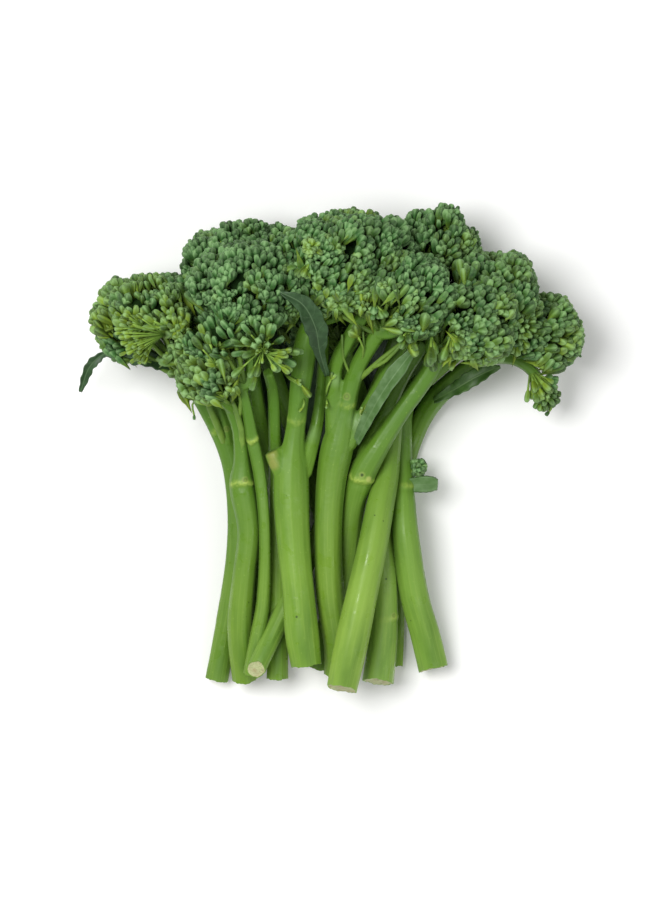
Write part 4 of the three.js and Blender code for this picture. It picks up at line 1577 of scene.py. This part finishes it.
    def spots(self, stalk: bpy.types.Object) -> list[tuple[Mark, Vector]]:
        """Finds each mark's place on the upper side of the skin.

        Args:
            stalk: the finished stalk.

        Returns:
            The marks with their places in metres.
        """
        found = []
        for mark in self.spear.marks:
            start = Vector((mark.place[0] * MM, mark.place[1] * MM, FAR * MM))
            hit, spot, _, _ = stalk.ray_cast(start, Vector((0, 0, -1)))
            if hit:
                found.append((mark, spot))
        return found

    def build(self, pith: bpy.types.Material) -> bpy.types.Object:
        """Makes the stalk.

        Args:
            pith: the material of the cut end.

        Returns:
            The finished stalk.
        """
        draw = np.random.default_rng(500 + int(self.spear.number))
        stalk = self.grow()
        self.relief(stalk, draw)
        apply_modifier(stalk, "DECIMATE", ratio=min(1.0, self.triangles / triangle_count(stalk)))
        stalk.data.materials.clear()
        stalk.data.materials.append(pith)  # the skin takes this slot once its marks are known
        stalk.data.materials.append(pith)
        self.cut_foot(stalk)
        points = points_of(stalk)
        points[:, 2] = np.maximum(points[:, 2], FLOOR_CLEARANCE)
        move_points(stalk, points)
        self.dress(stalk)
        skin = StalkSkin(marks=tuple(self.spots(stalk)), fresh=self.spear.fresh)
        stalk.data.materials[0] = skin.build()
        select_only(stalk)
        bpy.ops.object.shade_smooth_by_angle(angle=math.radians(self.smooth_angle))
        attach(stalk, "root")
        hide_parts(f"spear_{self.spear.number}_stalk")
        return stalk


@dataclass(frozen=True)
class Floret:
    """One dome of buds: the place that they spread from, the way it leans and how far they reach."""

    root: np.ndarray
    lean: np.ndarray
    dome: float
    grown: float  # how large its buds are, as a share of the habit's size
    placed: bool = False  # listed beside the head, so the head's form doesn't bound it


@dataclass(frozen=True)
class BudSet:
    """The buds of one dome, one a row, with how far out and how deep in the head each of them sits."""

    tips: np.ndarray
    aims: np.ndarray
    outer: np.ndarray  # 0 in the middle of the dome to 1 at its edge
    sunk: np.ndarray  # 0 at the head's surface to 1 deep inside


@dataclass
class BudHead:
    """A head: domes of buds on young branches round a shaded inside, within the CAD head's form."""

    spear: Spear
    around: Surroundings
    bud: Shape
    rod: Shape
    core_inset: float = 5.4
    proud: float = 0.9  # how far a bud's tip may stand out of the CAD surface
    deepest: float = 6.5
    power: float = 2.6  # the CAD heads' own: 2 is an ellipsoid, more is boxier
    let_out: float = 3.5  # how far buds spread over a side that is pressed flat by a neighbour
    shared: float = 1.6  # how far buds may reach into a neighbour
    fewest: int = 3  # a floret with no more buds than this shows no branch
    fullest: float = 0.97  # share of the head's full round form that buds may reach
    lean: tuple[float, float, float] = (0.8, 0.3, 0.24)  # how far domes lean outwards, forwards and anyhow
    placed_lean: tuple[float, float] = (0.6, 0.2)  # the same for domes listed beside the head: outwards and anyhow
    dome_sizes: tuple[float, float] = (0.78, 1.22)
    dome_rise: tuple[float, float, float, float] = (-0.2, 1.1, -2.2, 1.2)  # middle, spread, least and most
    dome_caps: tuple[float, float] = (84.0, 76.0)  # degrees of a dome with buds, for listed domes and others
    bud_depths: tuple[float, float] = (0.86, 1.08)  # shares of the dome
    overlap: float = 0.9  # how far a bud may be inside another dome
    lowest: float = 0.4  # height above the floor
    bud_light: tuple[float, float] = (0.12, 1.22)
    painted_sunk_shade: float = 0.8  # painted shade: how much darker a bud that sits deepest is made
    # painted light and shade: how much lighter the sepal ridges and darker their grooves are made
    painted_ridge_light: float = 0.3
    yellow_spread: float = 0.12
    branch_radii: tuple[float, float, float] = (1.05, 0.8, 0.55)
    branch_start: float = 7.0  # how far below the crown a branch may leave the stalk
    # painted shade on the young stems: how light the tips of the branches and the twigs are
    branch_light: float = 0.8
    twig_light: float = 0.75
    foot_light: float = 0.25  # painted shade: share of its tip's lightness that a stem keeps at its foot, deep in the head

    def __post_init__(self) -> None:
        """Works out what all the steps share."""
        self.form = self.spear.head
        self.growth = GROWTHS[self.form.habit]
        self.node = f"spear_{self.spear.number}_head"
        self.centre = np.array(self.form.centre)
        self.half = np.array(self.form.half)
        self.axis = self.spear.axis()
        self.draw = np.random.default_rng(900 + int(self.spear.number))
        self.copies = CopiedMesh()

    def reach(self, direction: np.ndarray) -> float:
        """How far the head reaches from its centre in a direction.

        Args:
            direction: one long.

        Returns:
            The CAD head's own reach, let out towards its full round form where it is pressed.
        """
        start = self.centre + direction * FAR
        distance = self.around.heads[self.node].ray_cast(Vector(start), Vector(-direction))[3]
        pressed = 0.0 if distance is None else FAR - distance
        full = float(np.sum(np.abs(direction / self.half) ** self.power) ** (-1 / self.power))
        return max(pressed, min(full * self.fullest, pressed + self.let_out))

    def florets(self) -> list[Floret]:
        """Places the domes over the head where they can be seen.

        Returns:
            The florets.
        """
        growth = self.growth
        size = float(np.prod(self.half)) ** (1 / 3)
        widest = min(growth.underside, math.radians(self.form.underside))
        share = (1 - math.cos(widest)) / 2
        spacing = growth.floret_spacing * self.form.spacing
        count = round(4 * math.pi * size**2 * share / (HEX_CELL * spacing**2))
        outwards, forwards, anyhow = self.lean
        middle, spread, least, most = self.dome_rise
        found = []
        for direction in cap_directions(count, self.axis, widest, 0.16, self.draw):
            tip = self.centre + direction * self.reach(direction)
            lean = unit(direction * outwards + self.axis * forwards + self.draw.normal(0, anyhow, 3))
            dome = growth.dome * self.draw.uniform(*self.dome_sizes)
            rise = float(np.clip(self.draw.normal(middle, spread), least, most))
            grown = self.draw.uniform(*growth.grown)
            if self.around.hidden(tip, direction, self.draw):
                continue
            found.append(Floret(tip + lean * (rise - dome), lean, dome, grown))
        outwards, anyhow = self.placed_lean
        for x, y, z, dome in self.form.more:
            tip = np.array([x, y, z])
            lean = unit(unit(tip - self.spear.top()) * outwards + UP + self.draw.normal(0, anyhow, 3))
            found.append(Floret(tip - lean * dome, lean, dome, self.draw.uniform(*growth.grown), True))
        return found

    def crowded(self, tip: np.ndarray) -> bool:
        """Says whether a place is too deep inside another head.

        Args:
            tip: the place.

        Returns:
            True if a bud there would be lost in the neighbour.
        """
        spot = Vector(tip)
        for name, surface in self.around.heads.items():
            if name == self.node:
                continue
            near, normal, _, distance = surface.find_nearest(spot, 30.0)
            if near is not None and distance > self.shared and (spot - near).dot(normal) < 0:
                return True
        return False

    def bud_places(self, floret: Floret, others: list[Floret]) -> BudSet:
        """Sets buds over one dome and leaves out those that others cover.

        Args:
            floret: the dome.
            others: all the head's domes.

        Returns:
            The buds.
        """
        growth = self.growth
        widest = math.radians(self.dome_caps[0 if floret.placed else 1])
        area = 2 * math.pi * floret.dome**2 * (1 - math.cos(widest))
        spacing = growth.bud_spacing * self.form.spacing * floret.grown
        count = round(area / (HEX_CELL * spacing**2))
        neighbours = [other for other in others if other is not floret]
        rows = []
        for way in cap_directions(count, floret.lean, widest, 0.1, self.draw):
            tip = floret.root + way * floret.dome * self.draw.uniform(*self.bud_depths)
            if any(np.linalg.norm(tip - other.root) < other.dome - self.overlap for other in neighbours):
                continue
            outwards = tip - self.centre
            far = float(np.linalg.norm(outwards))
            limit = far if floret.placed else self.reach(outwards / far)
            if far < limit - self.deepest or tip[2] < self.lowest:
                continue
            if any(math.hypot(tip[0] - x, tip[1] - y) < radius for x, y, radius in HOLLOWS):
                continue
            if far > limit + self.proud:
                tip = self.centre + outwards / far * (limit + self.proud)
            if not self.around.clear_of_stalks(tip - way * growth.bud_length / 2, growth.bud_width):
                continue
            if self.crowded(tip):
                continue
            aim = unit(way + self.axis * growth.upright + self.draw.normal(0, growth.stray, 3))
            turn = math.acos(float(np.clip(way @ floret.lean, -1, 1)))
            sunk = float(np.clip((limit - far) / self.deepest, 0, 1))
            rows.append([*tip, *aim, turn / widest, sunk])
        table = np.array(rows).reshape(-1, 8)
        return BudSet(table[:, :3], table[:, 3:6], table[:, 6], table[:, 7])

    def add_buds(
        self, tips: np.ndarray, aims: np.ndarray, lengths: np.ndarray, widths: np.ndarray,
        yellow: float | np.ndarray, sunk: float | np.ndarray = 0.0,
    ) -> None:
        """Copies the bud to each place.

        Args:
            tips: where the buds' tips are.
            aims: the directions that they point in.
            lengths: their lengths.
            widths: their half widths.
            yellow: how yellow this part of the head is, or each bud.
            sunk: how deep in the head each bud sits, from 0 to 1.
        """
        if len(tips) == 0:
            return
        first, second = perpendiculars(aims)
        roll = self.draw.uniform(0, math.pi / 2, len(tips))[:, None]
        side = first * np.cos(roll) + second * np.sin(roll)
        other = np.cross(aims, side)
        shape = self.bud.points
        copies = (
            tips[:, None]
            + side[:, None] * (shape[:, 0:1] * widths[:, None, None])
            + other[:, None] * (shape[:, 1:2] * widths[:, None, None])
            + aims[:, None] * (shape[:, 2:3] * lengths[:, None, None])
        )
        # each bud's shade: a random tone, with painted shade for buds that sit deep, painted light on its
        # sepal ridges and painted shade in their grooves
        ridges = np.cos(SEPALS * np.arctan2(shape[:, 1], shape[:, 0])) * self.painted_ridge_light
        light = self.draw.uniform(*self.bud_light, len(tips)) * (1 - self.painted_sunk_shade * np.asarray(sunk))
        shades = light[:, None] + ridges[None]
        heights = np.repeat(np.clip(1 + shape[:, 2], 0, 1)[None], len(tips), axis=0)
        yellows = np.clip(self.draw.normal(yellow, self.yellow_spread, len(tips)), 0, 1)
        yellows = np.repeat(yellows[:, None], len(shape), axis=1)
        self.copies.add(self.bud, copies, 0, np.stack([shades, heights, yellows], axis=2))

    def add_stem(self, points: list[RoutePoint], light: float) -> None:
        """Lays a copy of the young branch along a route.

        Args:
            points: the route.
            light: how light its tip is, from 0 to 1; towards its foot it darkens as painted shade.
        """
        laid = Route(points).lay(self.rod.points)
        height = light * (self.foot_light + (1 - self.foot_light) * (self.rod.points[:, 2] + 0.5))
        tones = np.column_stack([np.zeros(len(height)), height, np.zeros(len(height))])
        self.copies.add(self.rod, laid[None], 1, tones)

    def add_branchlets(self, florets: list[Floret]) -> None:
        """Grows a young branch from the crown of the stalk to each dome.

        Args:
            florets: the domes.
        """
        top = self.spear.top()
        thick, slim, thin = self.branch_radii
        for floret in florets:
            start = top - self.axis * self.draw.uniform(0, self.branch_start)
            end = floret.root + floret.lean * 1.5
            across = (end - start) - self.axis * float((end - start) @ self.axis)
            middle = start + (end - start) * 0.5 + across * 0.12 - self.axis * 1.0
            self.add_stem([(*start, thick), (*middle, slim), (*end, thin)], self.branch_light)

    def add_spray(self, spray: Spray) -> None:
        """Adds single buds on long stems.

        Args:
            spray: where they spread from and how.
        """
        origin, aim = np.array(spray.origin), unit(np.array(spray.aim))
        ways = cap_directions(spray.count, aim, math.radians(spray.spread), 0.28, self.draw)
        for way in ways[ways @ aim <= math.cos(math.radians(spray.hollow))]:
            reach = self.draw.uniform(*spray.reach)
            length = spray.bud[0] * self.draw.uniform(0.75, 1.2)
            tip = origin + way * reach
            foot = tip - way * length * 0.95
            bend = (origin + foot) / 2 + UP * self.draw.uniform(0.2, 1.0)
            self.add_stem([(*origin, spray.stem), (*bend, spray.stem * 0.85), (*foot, spray.stem)], 1.0)
            width = spray.bud[1] * self.draw.uniform(0.85, 1.15)
            self.add_buds(tip[None], way[None], np.array([length]), np.array([width]), spray.yellow)

    def add_stray(self, stray: Stray) -> None:
        """Adds a bud, or a few, on a stem of its own.

        Args:
            stray: the stem's route and the buds at its end.
        """
        route = np.array(stray.route)
        self.add_stem([(*place, stray.stem) for place in route], 1.0)
        aim, spread = unit(route[-1] - route[-2]), math.radians(18 * stray.count)
        ways = cap_directions(stray.count, aim, spread, 0.1, self.draw)
        lengths = stray.bud[0] * self.draw.uniform(0.85, 1.15, stray.count)
        widths = np.full(stray.count, stray.bud[1])
        self.add_buds(route[-1] + ways * lengths[:, None], ways, lengths, widths, stray.yellow)

    def core(self, shade: bpy.types.Material) -> bpy.types.Object:
        """Shrinks a copy of the CAD head to the shaded inside.

        Args:
            shade: its material.

        Returns:
            The inside.
        """
        source = frame["nodes"][self.node]
        core = bpy.data.objects.new(f"{self.node}_inside", source.data.copy())
        bpy.context.scene.collection.objects.link(core)
        core.data.materials.clear()
        core.data.materials.append(shade)
        select_only(core)
        bpy.ops.object.mode_set(mode="EDIT")
        bpy.ops.mesh.select_all(action="SELECT")
        bpy.ops.mesh.remove_doubles(threshold=0.001 * MM)
        bpy.ops.object.mode_set(mode="OBJECT")
        apply_modifier(core, "REMESH", mode="VOXEL", voxel_size=1.3 * MM)
        apply_modifier(core, "SMOOTH", factor=0.5, iterations=6)
        apply_modifier(core, "DISPLACE", strength=-self.core_inset * MM, mid_level=0.0)
        apply_modifier(core, "REMESH", mode="VOXEL", voxel_size=1.5 * MM)
        core = main_surface(core)
        core.data.shade_smooth()
        return core

    def build(self, finishes: list[bpy.types.Material]) -> bpy.types.Object:
        """Makes the head.

        Args:
            finishes: the materials of the buds, of the young stems and of the inside.

        Returns:
            The finished head.
        """
        growth = self.growth
        solid = self.form.habit is not BudHabit.OPEN
        florets = self.florets() if solid else []
        grown = []
        for floret in florets:
            buds = self.bud_places(floret, florets)
            count = len(buds.tips)
            if count > self.fewest:
                grown.append(floret)
            stand_out = self.draw.random(count) < growth.long_share
            lengths = growth.bud_length * self.draw.uniform(0.8, 1.15, count) * np.where(stand_out, 1.2, 1)
            lengths = lengths * floret.grown**0.7 * (0.8 + 0.4 * buds.outer)
            widths = growth.bud_width * self.draw.uniform(0.82, 1.15, count) * floret.grown
            widths = widths * (0.84 + 0.3 * buds.outer)
            below = smoothstep(-(buds.tips - self.centre) @ self.axis / self.half.min(), -0.1, 0.8)
            patch = float(np.clip(self.draw.normal(self.form.yellow, 0.2), 0, 1))
            yellows = np.clip(patch + 0.2 * buds.outer**2 + 0.3 * below, 0, 1)
            rise = stand_out * self.draw.uniform(0.5, 1.8, count) * np.clip(buds.aims[:, 2], 0.25, 1)
            tips = buds.tips + buds.aims * rise[:, None]
            self.add_buds(tips, buds.aims, lengths, widths, yellows, buds.sunk)
        self.add_branchlets(grown)
        for spray in self.form.sprays:
            self.add_spray(spray)
        for stray in self.form.strays:
            self.add_stray(stray)
        for twig in self.form.twigs:
            # laid from the head end, so the painted shade of the stem's foot falls in the head
            self.add_stem(list(reversed(twig)), self.twig_light)
        head = self.copies.build(f"spear_{self.spear.number}_buds")
        for finish in finishes[:2]:
            head.data.materials.append(finish)
        if solid:
            select_only(head, self.core(finishes[2]))
            bpy.ops.object.join()
        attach(head, "root")
        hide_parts(self.node)
        return head


@dataclass
class Leaf:
    """A leaf: its midrib, widths, fold, roll and wave are the CAD model's."""

    node: str
    rib: tuple[RoutePoint, ...]
    wave: float
    fold: float
    roll: float
    ragged: float = 0.25  # how deep the edge's notches are, as a share of the width
    notches: tuple[float, float] = (31.0, 13.0)  # how fast two waves that cut them run along the leaf
    edge_power: int = 4  # how far the notches keep to the edge
    wave_pace: float = 1.9
    thickness: float = 0.45
    columns: int = 20
    rows: int = 56

    def build(self, finish: bpy.types.Material) -> bpy.types.Object:
        """Makes the leaf.

        Args:
            finish: its material.

        Returns:
            The finished leaf.
        """
        draw = np.random.default_rng(len(self.node) * 7 + int(self.roll) % 13)
        bpy.ops.object.select_all(action="DESELECT")
        bpy.ops.mesh.primitive_grid_add(x_subdivisions=self.columns, y_subdivisions=self.rows, size=2)
        leaf = bpy.context.active_object
        leaf.name = f"{self.node}_blade"
        sheet = points_of(leaf) * MM
        across, share = sheet[:, 0], np.clip(sheet[:, 1] / 2 + 0.5, 0, 1)
        route = Route(self.rib)
        centre, size, along, side, above = route.frames(share)
        roll = math.radians(self.roll)
        rolled_side = side * math.cos(roll) - above * math.sin(roll)
        rolled_above = above * math.cos(roll) + side * math.sin(roll)
        phase = draw.uniform(0, 6)
        fast, slow = self.notches
        edge = self.ragged * np.abs(across) ** self.edge_power * np.sin(share * fast + phase)
        width = size * (1 + edge * np.sin(share * slow + across))
        cad_steps = (len(self.rib) - 1) * 3
        ripple = self.wave * across**2 * np.sin(share * cad_steps * self.wave_pace + across)
        height = np.abs(across) * width * math.tan(math.radians(self.fold)) + ripple
        points = centre + rolled_side * (across * width)[:, None] + rolled_above * height[:, None]
        move_points(leaf, points)
        paint(leaf, "blade", np.column_stack([across * width, share * route.length(), np.zeros(len(share))]))
        apply_modifier(leaf, "SOLIDIFY", thickness=self.thickness * MM, offset=0.0)
        leaf.data.materials.append(finish)
        leaf.data.shade_smooth()
        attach(leaf, "root")
        if self.node in frame["nodes"]:
            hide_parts(self.node)
        return leaf


LEAVES = (
    Leaf(
        "leaf_middle",
        ((-1.2, 26, 39.6, 0.8), (-3.6, 34, 49, 1.9), (-5.2, 42.5, 58, 3.9), (-9.6, 50, 63.5, 2.9),
         (-17, 54, 65, 0.5)),
        0.35, 24, 8, ragged=0.12,
    ),
    Leaf(
        "leaf_left",
        ((-74, 33, 27, 0.9), (-79.5, 33.5, 27, 1.2), (-84.5, 29, 26, 1.8), (-87.8, 20.5, 22, 0.6)),
        0.3, 18, -20,
    ),
    Leaf(
        "leaf_under_left",
        ((-50, 27.6, 24, 0.9), (-58, 30.4, 29.6, 2.4), (-67, 32, 32, 2.5), (-76.5, 33.4, 33, 0.8)),
        0.5, 14, 10,
    ),
    Leaf(
        "leaf_right",
        ((36.8, 17.4, 15.6, 1), (44.4, 21.6, 19.4, 2.4), (51.6, 25.8, 22, 2.8), (59.8, 29.4, 22.6, 0.5)),
        0.7, 12, -14, ragged=0.14,
    ),
    Leaf(
        "leaf_fork",
        ((9.2, 2.5, 32.4, 1.2), (13.5, 11.5, 37.6, 2.2), (18.6, 20.5, 41, 2.5), (24.3, 28.5, 43.4, 2.7),
         (29, 34.5, 45, 1.2)),
        0.2, 30, -12, ragged=0.05,
    ),
    Leaf(
        "leaf_stub",
        ((27, -12.4, 15, 2), (31, -12.2, 16.4, 2.6), (35.5, -12, 18, 2.7), (38, -12.2, 18.6, 1.8)),
        0.1, 20, 0, ragged=0.04, thickness=1.2,
    ),
)

# dark leaves laid low in the gaps under the heads as painted shade, where the floor would show; the CAD model
# leaves them to the looks
SHADE_LEAVES = (
    Leaf(
        "inner_leaf_left",
        ((-18, -14, 2.6, 1.2), (-20, 0, 3, 6), (-20, 20, 3.4, 9), (-16, 48, 3, 7)),
        0.6, 10, 0,
    ),
    Leaf(
        "inner_leaf_middle",
        ((-6, -14, 2, 1.2), (-5, 0, 2.6, 7), (-4, 20, 3, 10), (-8, 50, 3, 8)),
        0.6, 8, 4,
    ),
    Leaf(
        "inner_leaf_right",
        ((8.6, -16, 2, 1.2), (9, 0, 2.4, 5), (13, 18, 2.6, 9), (16, 50, 3, 8)),
        0.6, 8, -4,
    ),
    Leaf(
        "inner_leaf_far_right",
        ((23, -6, 1.6, 1.2), (25, 10, 2, 4), (30, 24, 2.4, 7), (34, 38, 2.4, 4)),
        0.5, 6, 0,
    ),
)


@dataclass(frozen=True)
class SmallFloret:
    """A small floret away from the heads: its place and half sizes are the CAD model's."""

    node: str
    spear: str
    axis: Place
    centre: Place
    half: Place
    foot: RoutePoint
    buds: int
    bud_length: float
    bud_width: float  # half of it
    yellow: float
    widest: float = math.radians(140)
    branch_gap: int = 4  # one bud in this many shows its branch
    # painted shade: how light the tips of its branches are
    branch_light: float = 0.8
    sprays: tuple[Spray, ...] = ()
    strays: tuple[Stray, ...] = ()

    def build(self, maker: BudHead, finishes: list[bpy.types.Material]) -> bpy.types.Object:
        """Makes the floret.

        Args:
            maker: the head that it grows beside, which lays its buds.
            finishes: the materials of the buds and of the young stems.

        Returns:
            The finished floret.
        """
        maker.draw = np.random.default_rng(self.buds)
        centre, axis = np.array(self.centre), unit(np.array(self.axis))
        ways = cap_directions(self.buds, axis, self.widest, 0.12, maker.draw)
        tips = centre + ways * np.array(self.half) * maker.draw.uniform(0.85, 1.1, (self.buds, 1))
        lengths = self.bud_length * maker.draw.uniform(0.8, 1.2, self.buds)
        widths = self.bud_width * maker.draw.uniform(0.85, 1.15, self.buds)
        maker.add_buds(tips, unit(ways + axis * 0.3), lengths, widths, self.yellow)
        start, size = np.array(self.foot[:3]), self.foot[3]
        for way in ways[:: self.branch_gap]:
            middle = start * 0.55 + centre * 0.45 - axis * 0.6 + way * 0.4
            end = centre + way * min(self.half) * 0.4
            route = [(*start, size), (*middle, size * 0.7), (*end, size * 0.4)]
            maker.add_stem(route, self.branch_light)
        for spray in self.sprays:
            maker.add_spray(spray)
        for stray in self.strays:
            maker.add_stray(stray)
        floret = maker.copies.build(f"{self.node}_buds")
        for finish in finishes[:2]:
            floret.data.materials.append(finish)
        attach(floret, "root")
        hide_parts(self.node)
        return floret


SMALL_FLORETS = (
    SmallFloret(
        "side_floret", "11", (0.8, 0.5, 0.4), (31.4, -6.2, 14.5), (3.1, 3.6, 3.3), (27.5, -9.4, 14.4, 1.2),
        26, 3.2, 1.08, 0.35,
    ),
    SmallFloret(
        "hanging_floret", "12", (0.35, -0.9, 0.15), (76, 19.2, 20), (5.4, 6.2, 4.8), (73.6, 24.4, 20.6, 1.8),
        30, 3.4, 1.05, 0.5, math.radians(100),
        sprays=(Spray((70.5, 28.5, 21), (0.45, -0.9, 0.05), 24, 46, (8, 13.5), (4, 1.05), 0.85),
                Spray((73.5, 25, 21), (0.9, -0.45, 0.15), 30, 16, (4, 7.5), (3.4, 1.1), 0.2)),
        strays=(Stray(((77, 17.6, 20), (78.2, 15.4, 20), (77.2, 13.6, 20)), (1.9, 0.75), 0.2),),
    ),
)


@dataclass(frozen=True)
class Studio:
    """The pale floor, soft light and the camera that looks down on the bunch as the photo does."""

    frame_height: float = 315.0  # mm seen from bottom to top at the plane below
    view_plane: float = 30.0  # height that the photo's scale was taken at
    camera_height: float = 1600.0
    sensor: float = 36.0
    floor_size: float = 4.0  # m
    key: tuple[Place, float, float] = ((-0.35, 0.15, 0.95), 0.5, 9.0)  # place and side in m, and power in W
    fill: tuple[Place, float, float] = ((0.6, -0.35, 0.8), 0.8, 2.5)
    sky: float = 0.42

    def build(self) -> None:
        """Makes the floor, lights and camera."""
        bpy.ops.object.select_all(action="DESELECT")
        bpy.ops.mesh.primitive_plane_add(size=self.floor_size, location=(0, 0, 0))
        floor = bpy.context.active_object
        floor.name = "floor"
        floor.data.materials.append(WhiteBoard().build())
        self.add_light("key_soft_box", *self.key)
        self.add_light("fill_soft_box", *self.fill)
        world = bpy.data.worlds.new("soft_sky")
        world.use_nodes = True
        background = world.node_tree.nodes["Background"]
        background.inputs["Color"].default_value = (1, 1, 1, 1)
        background.inputs["Strength"].default_value = self.sky
        bpy.context.scene.world = world
        distance = self.camera_height - self.view_plane
        camera_data = bpy.data.cameras.new("camera")
        camera_data.sensor_width = self.sensor
        camera_data.lens = self.sensor * distance / self.frame_height
        camera = bpy.data.objects.new("camera", camera_data)
        camera.location = (0, 0, self.camera_height * MM)
        bpy.context.scene.collection.objects.link(camera)
        bpy.context.scene.camera = camera
        bpy.context.scene.view_settings.view_transform = "Standard"

    @staticmethod
    def add_light(name: str, place: Place, size: float, power: float) -> None:
        """Adds a soft box that faces the bunch.

        Args:
            name: the light's name.
            place: where it stands, in metres.
            size: its side, in metres.
            power: in watts.
        """
        light = bpy.data.lights.new(name, "AREA")
        light.size = size
        light.energy = power
        stand = bpy.data.objects.new(name, light)
        stand.location = place
        stand.rotation_euler = (-Vector(place)).to_track_quat("-Z", "Y").to_euler()
        bpy.context.scene.collection.objects.link(stand)


def main() -> None:
    """Builds every piece in order and reports it."""
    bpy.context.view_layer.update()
    around = Surroundings(frame["nodes"])
    pith = CutPith().build()
    head_finishes = [BudSkin().build(), FloretStem().build(), HeadShade().build()]
    bud, rod = bud_shape(), Shape(straight_rod(6, 3))
    total = 0
    for spear in SPEARS:
        stalk = Stalk(spear).build(pith)
        head = BudHead(spear, around, bud, rod).build(head_finishes)
        total += report(stalk) + report(head)
    dark_leaf = LeafBlade("dark_waxed_leaf").build()
    light_leaf = LeafBlade("light_waxed_leaf", "#4d6e3a", "#658455", "#76945f", 3.4, 0.1, 0.3).build()
    green_leaf = LeafBlade("green_young_leaf", "#345420", "#486b30", "#66874a", 3.4, 0.12, 0.4).build()
    finishes = {"leaf_fork": light_leaf, "leaf_stub": light_leaf, "leaf_right": green_leaf}
    for leaf in LEAVES + SHADE_LEAVES:
        total += report(leaf.build(finishes.get(leaf.node, dark_leaf)))
    for floret in SMALL_FLORETS:
        spear = next(spear for spear in SPEARS if spear.number == floret.spear)
        total += report(floret.build(BudHead(spear, around, bud, rod), head_finishes))
    log.info("all pieces: %d triangles", total)
    Studio().build()


if __name__ == "__main__":
    main()
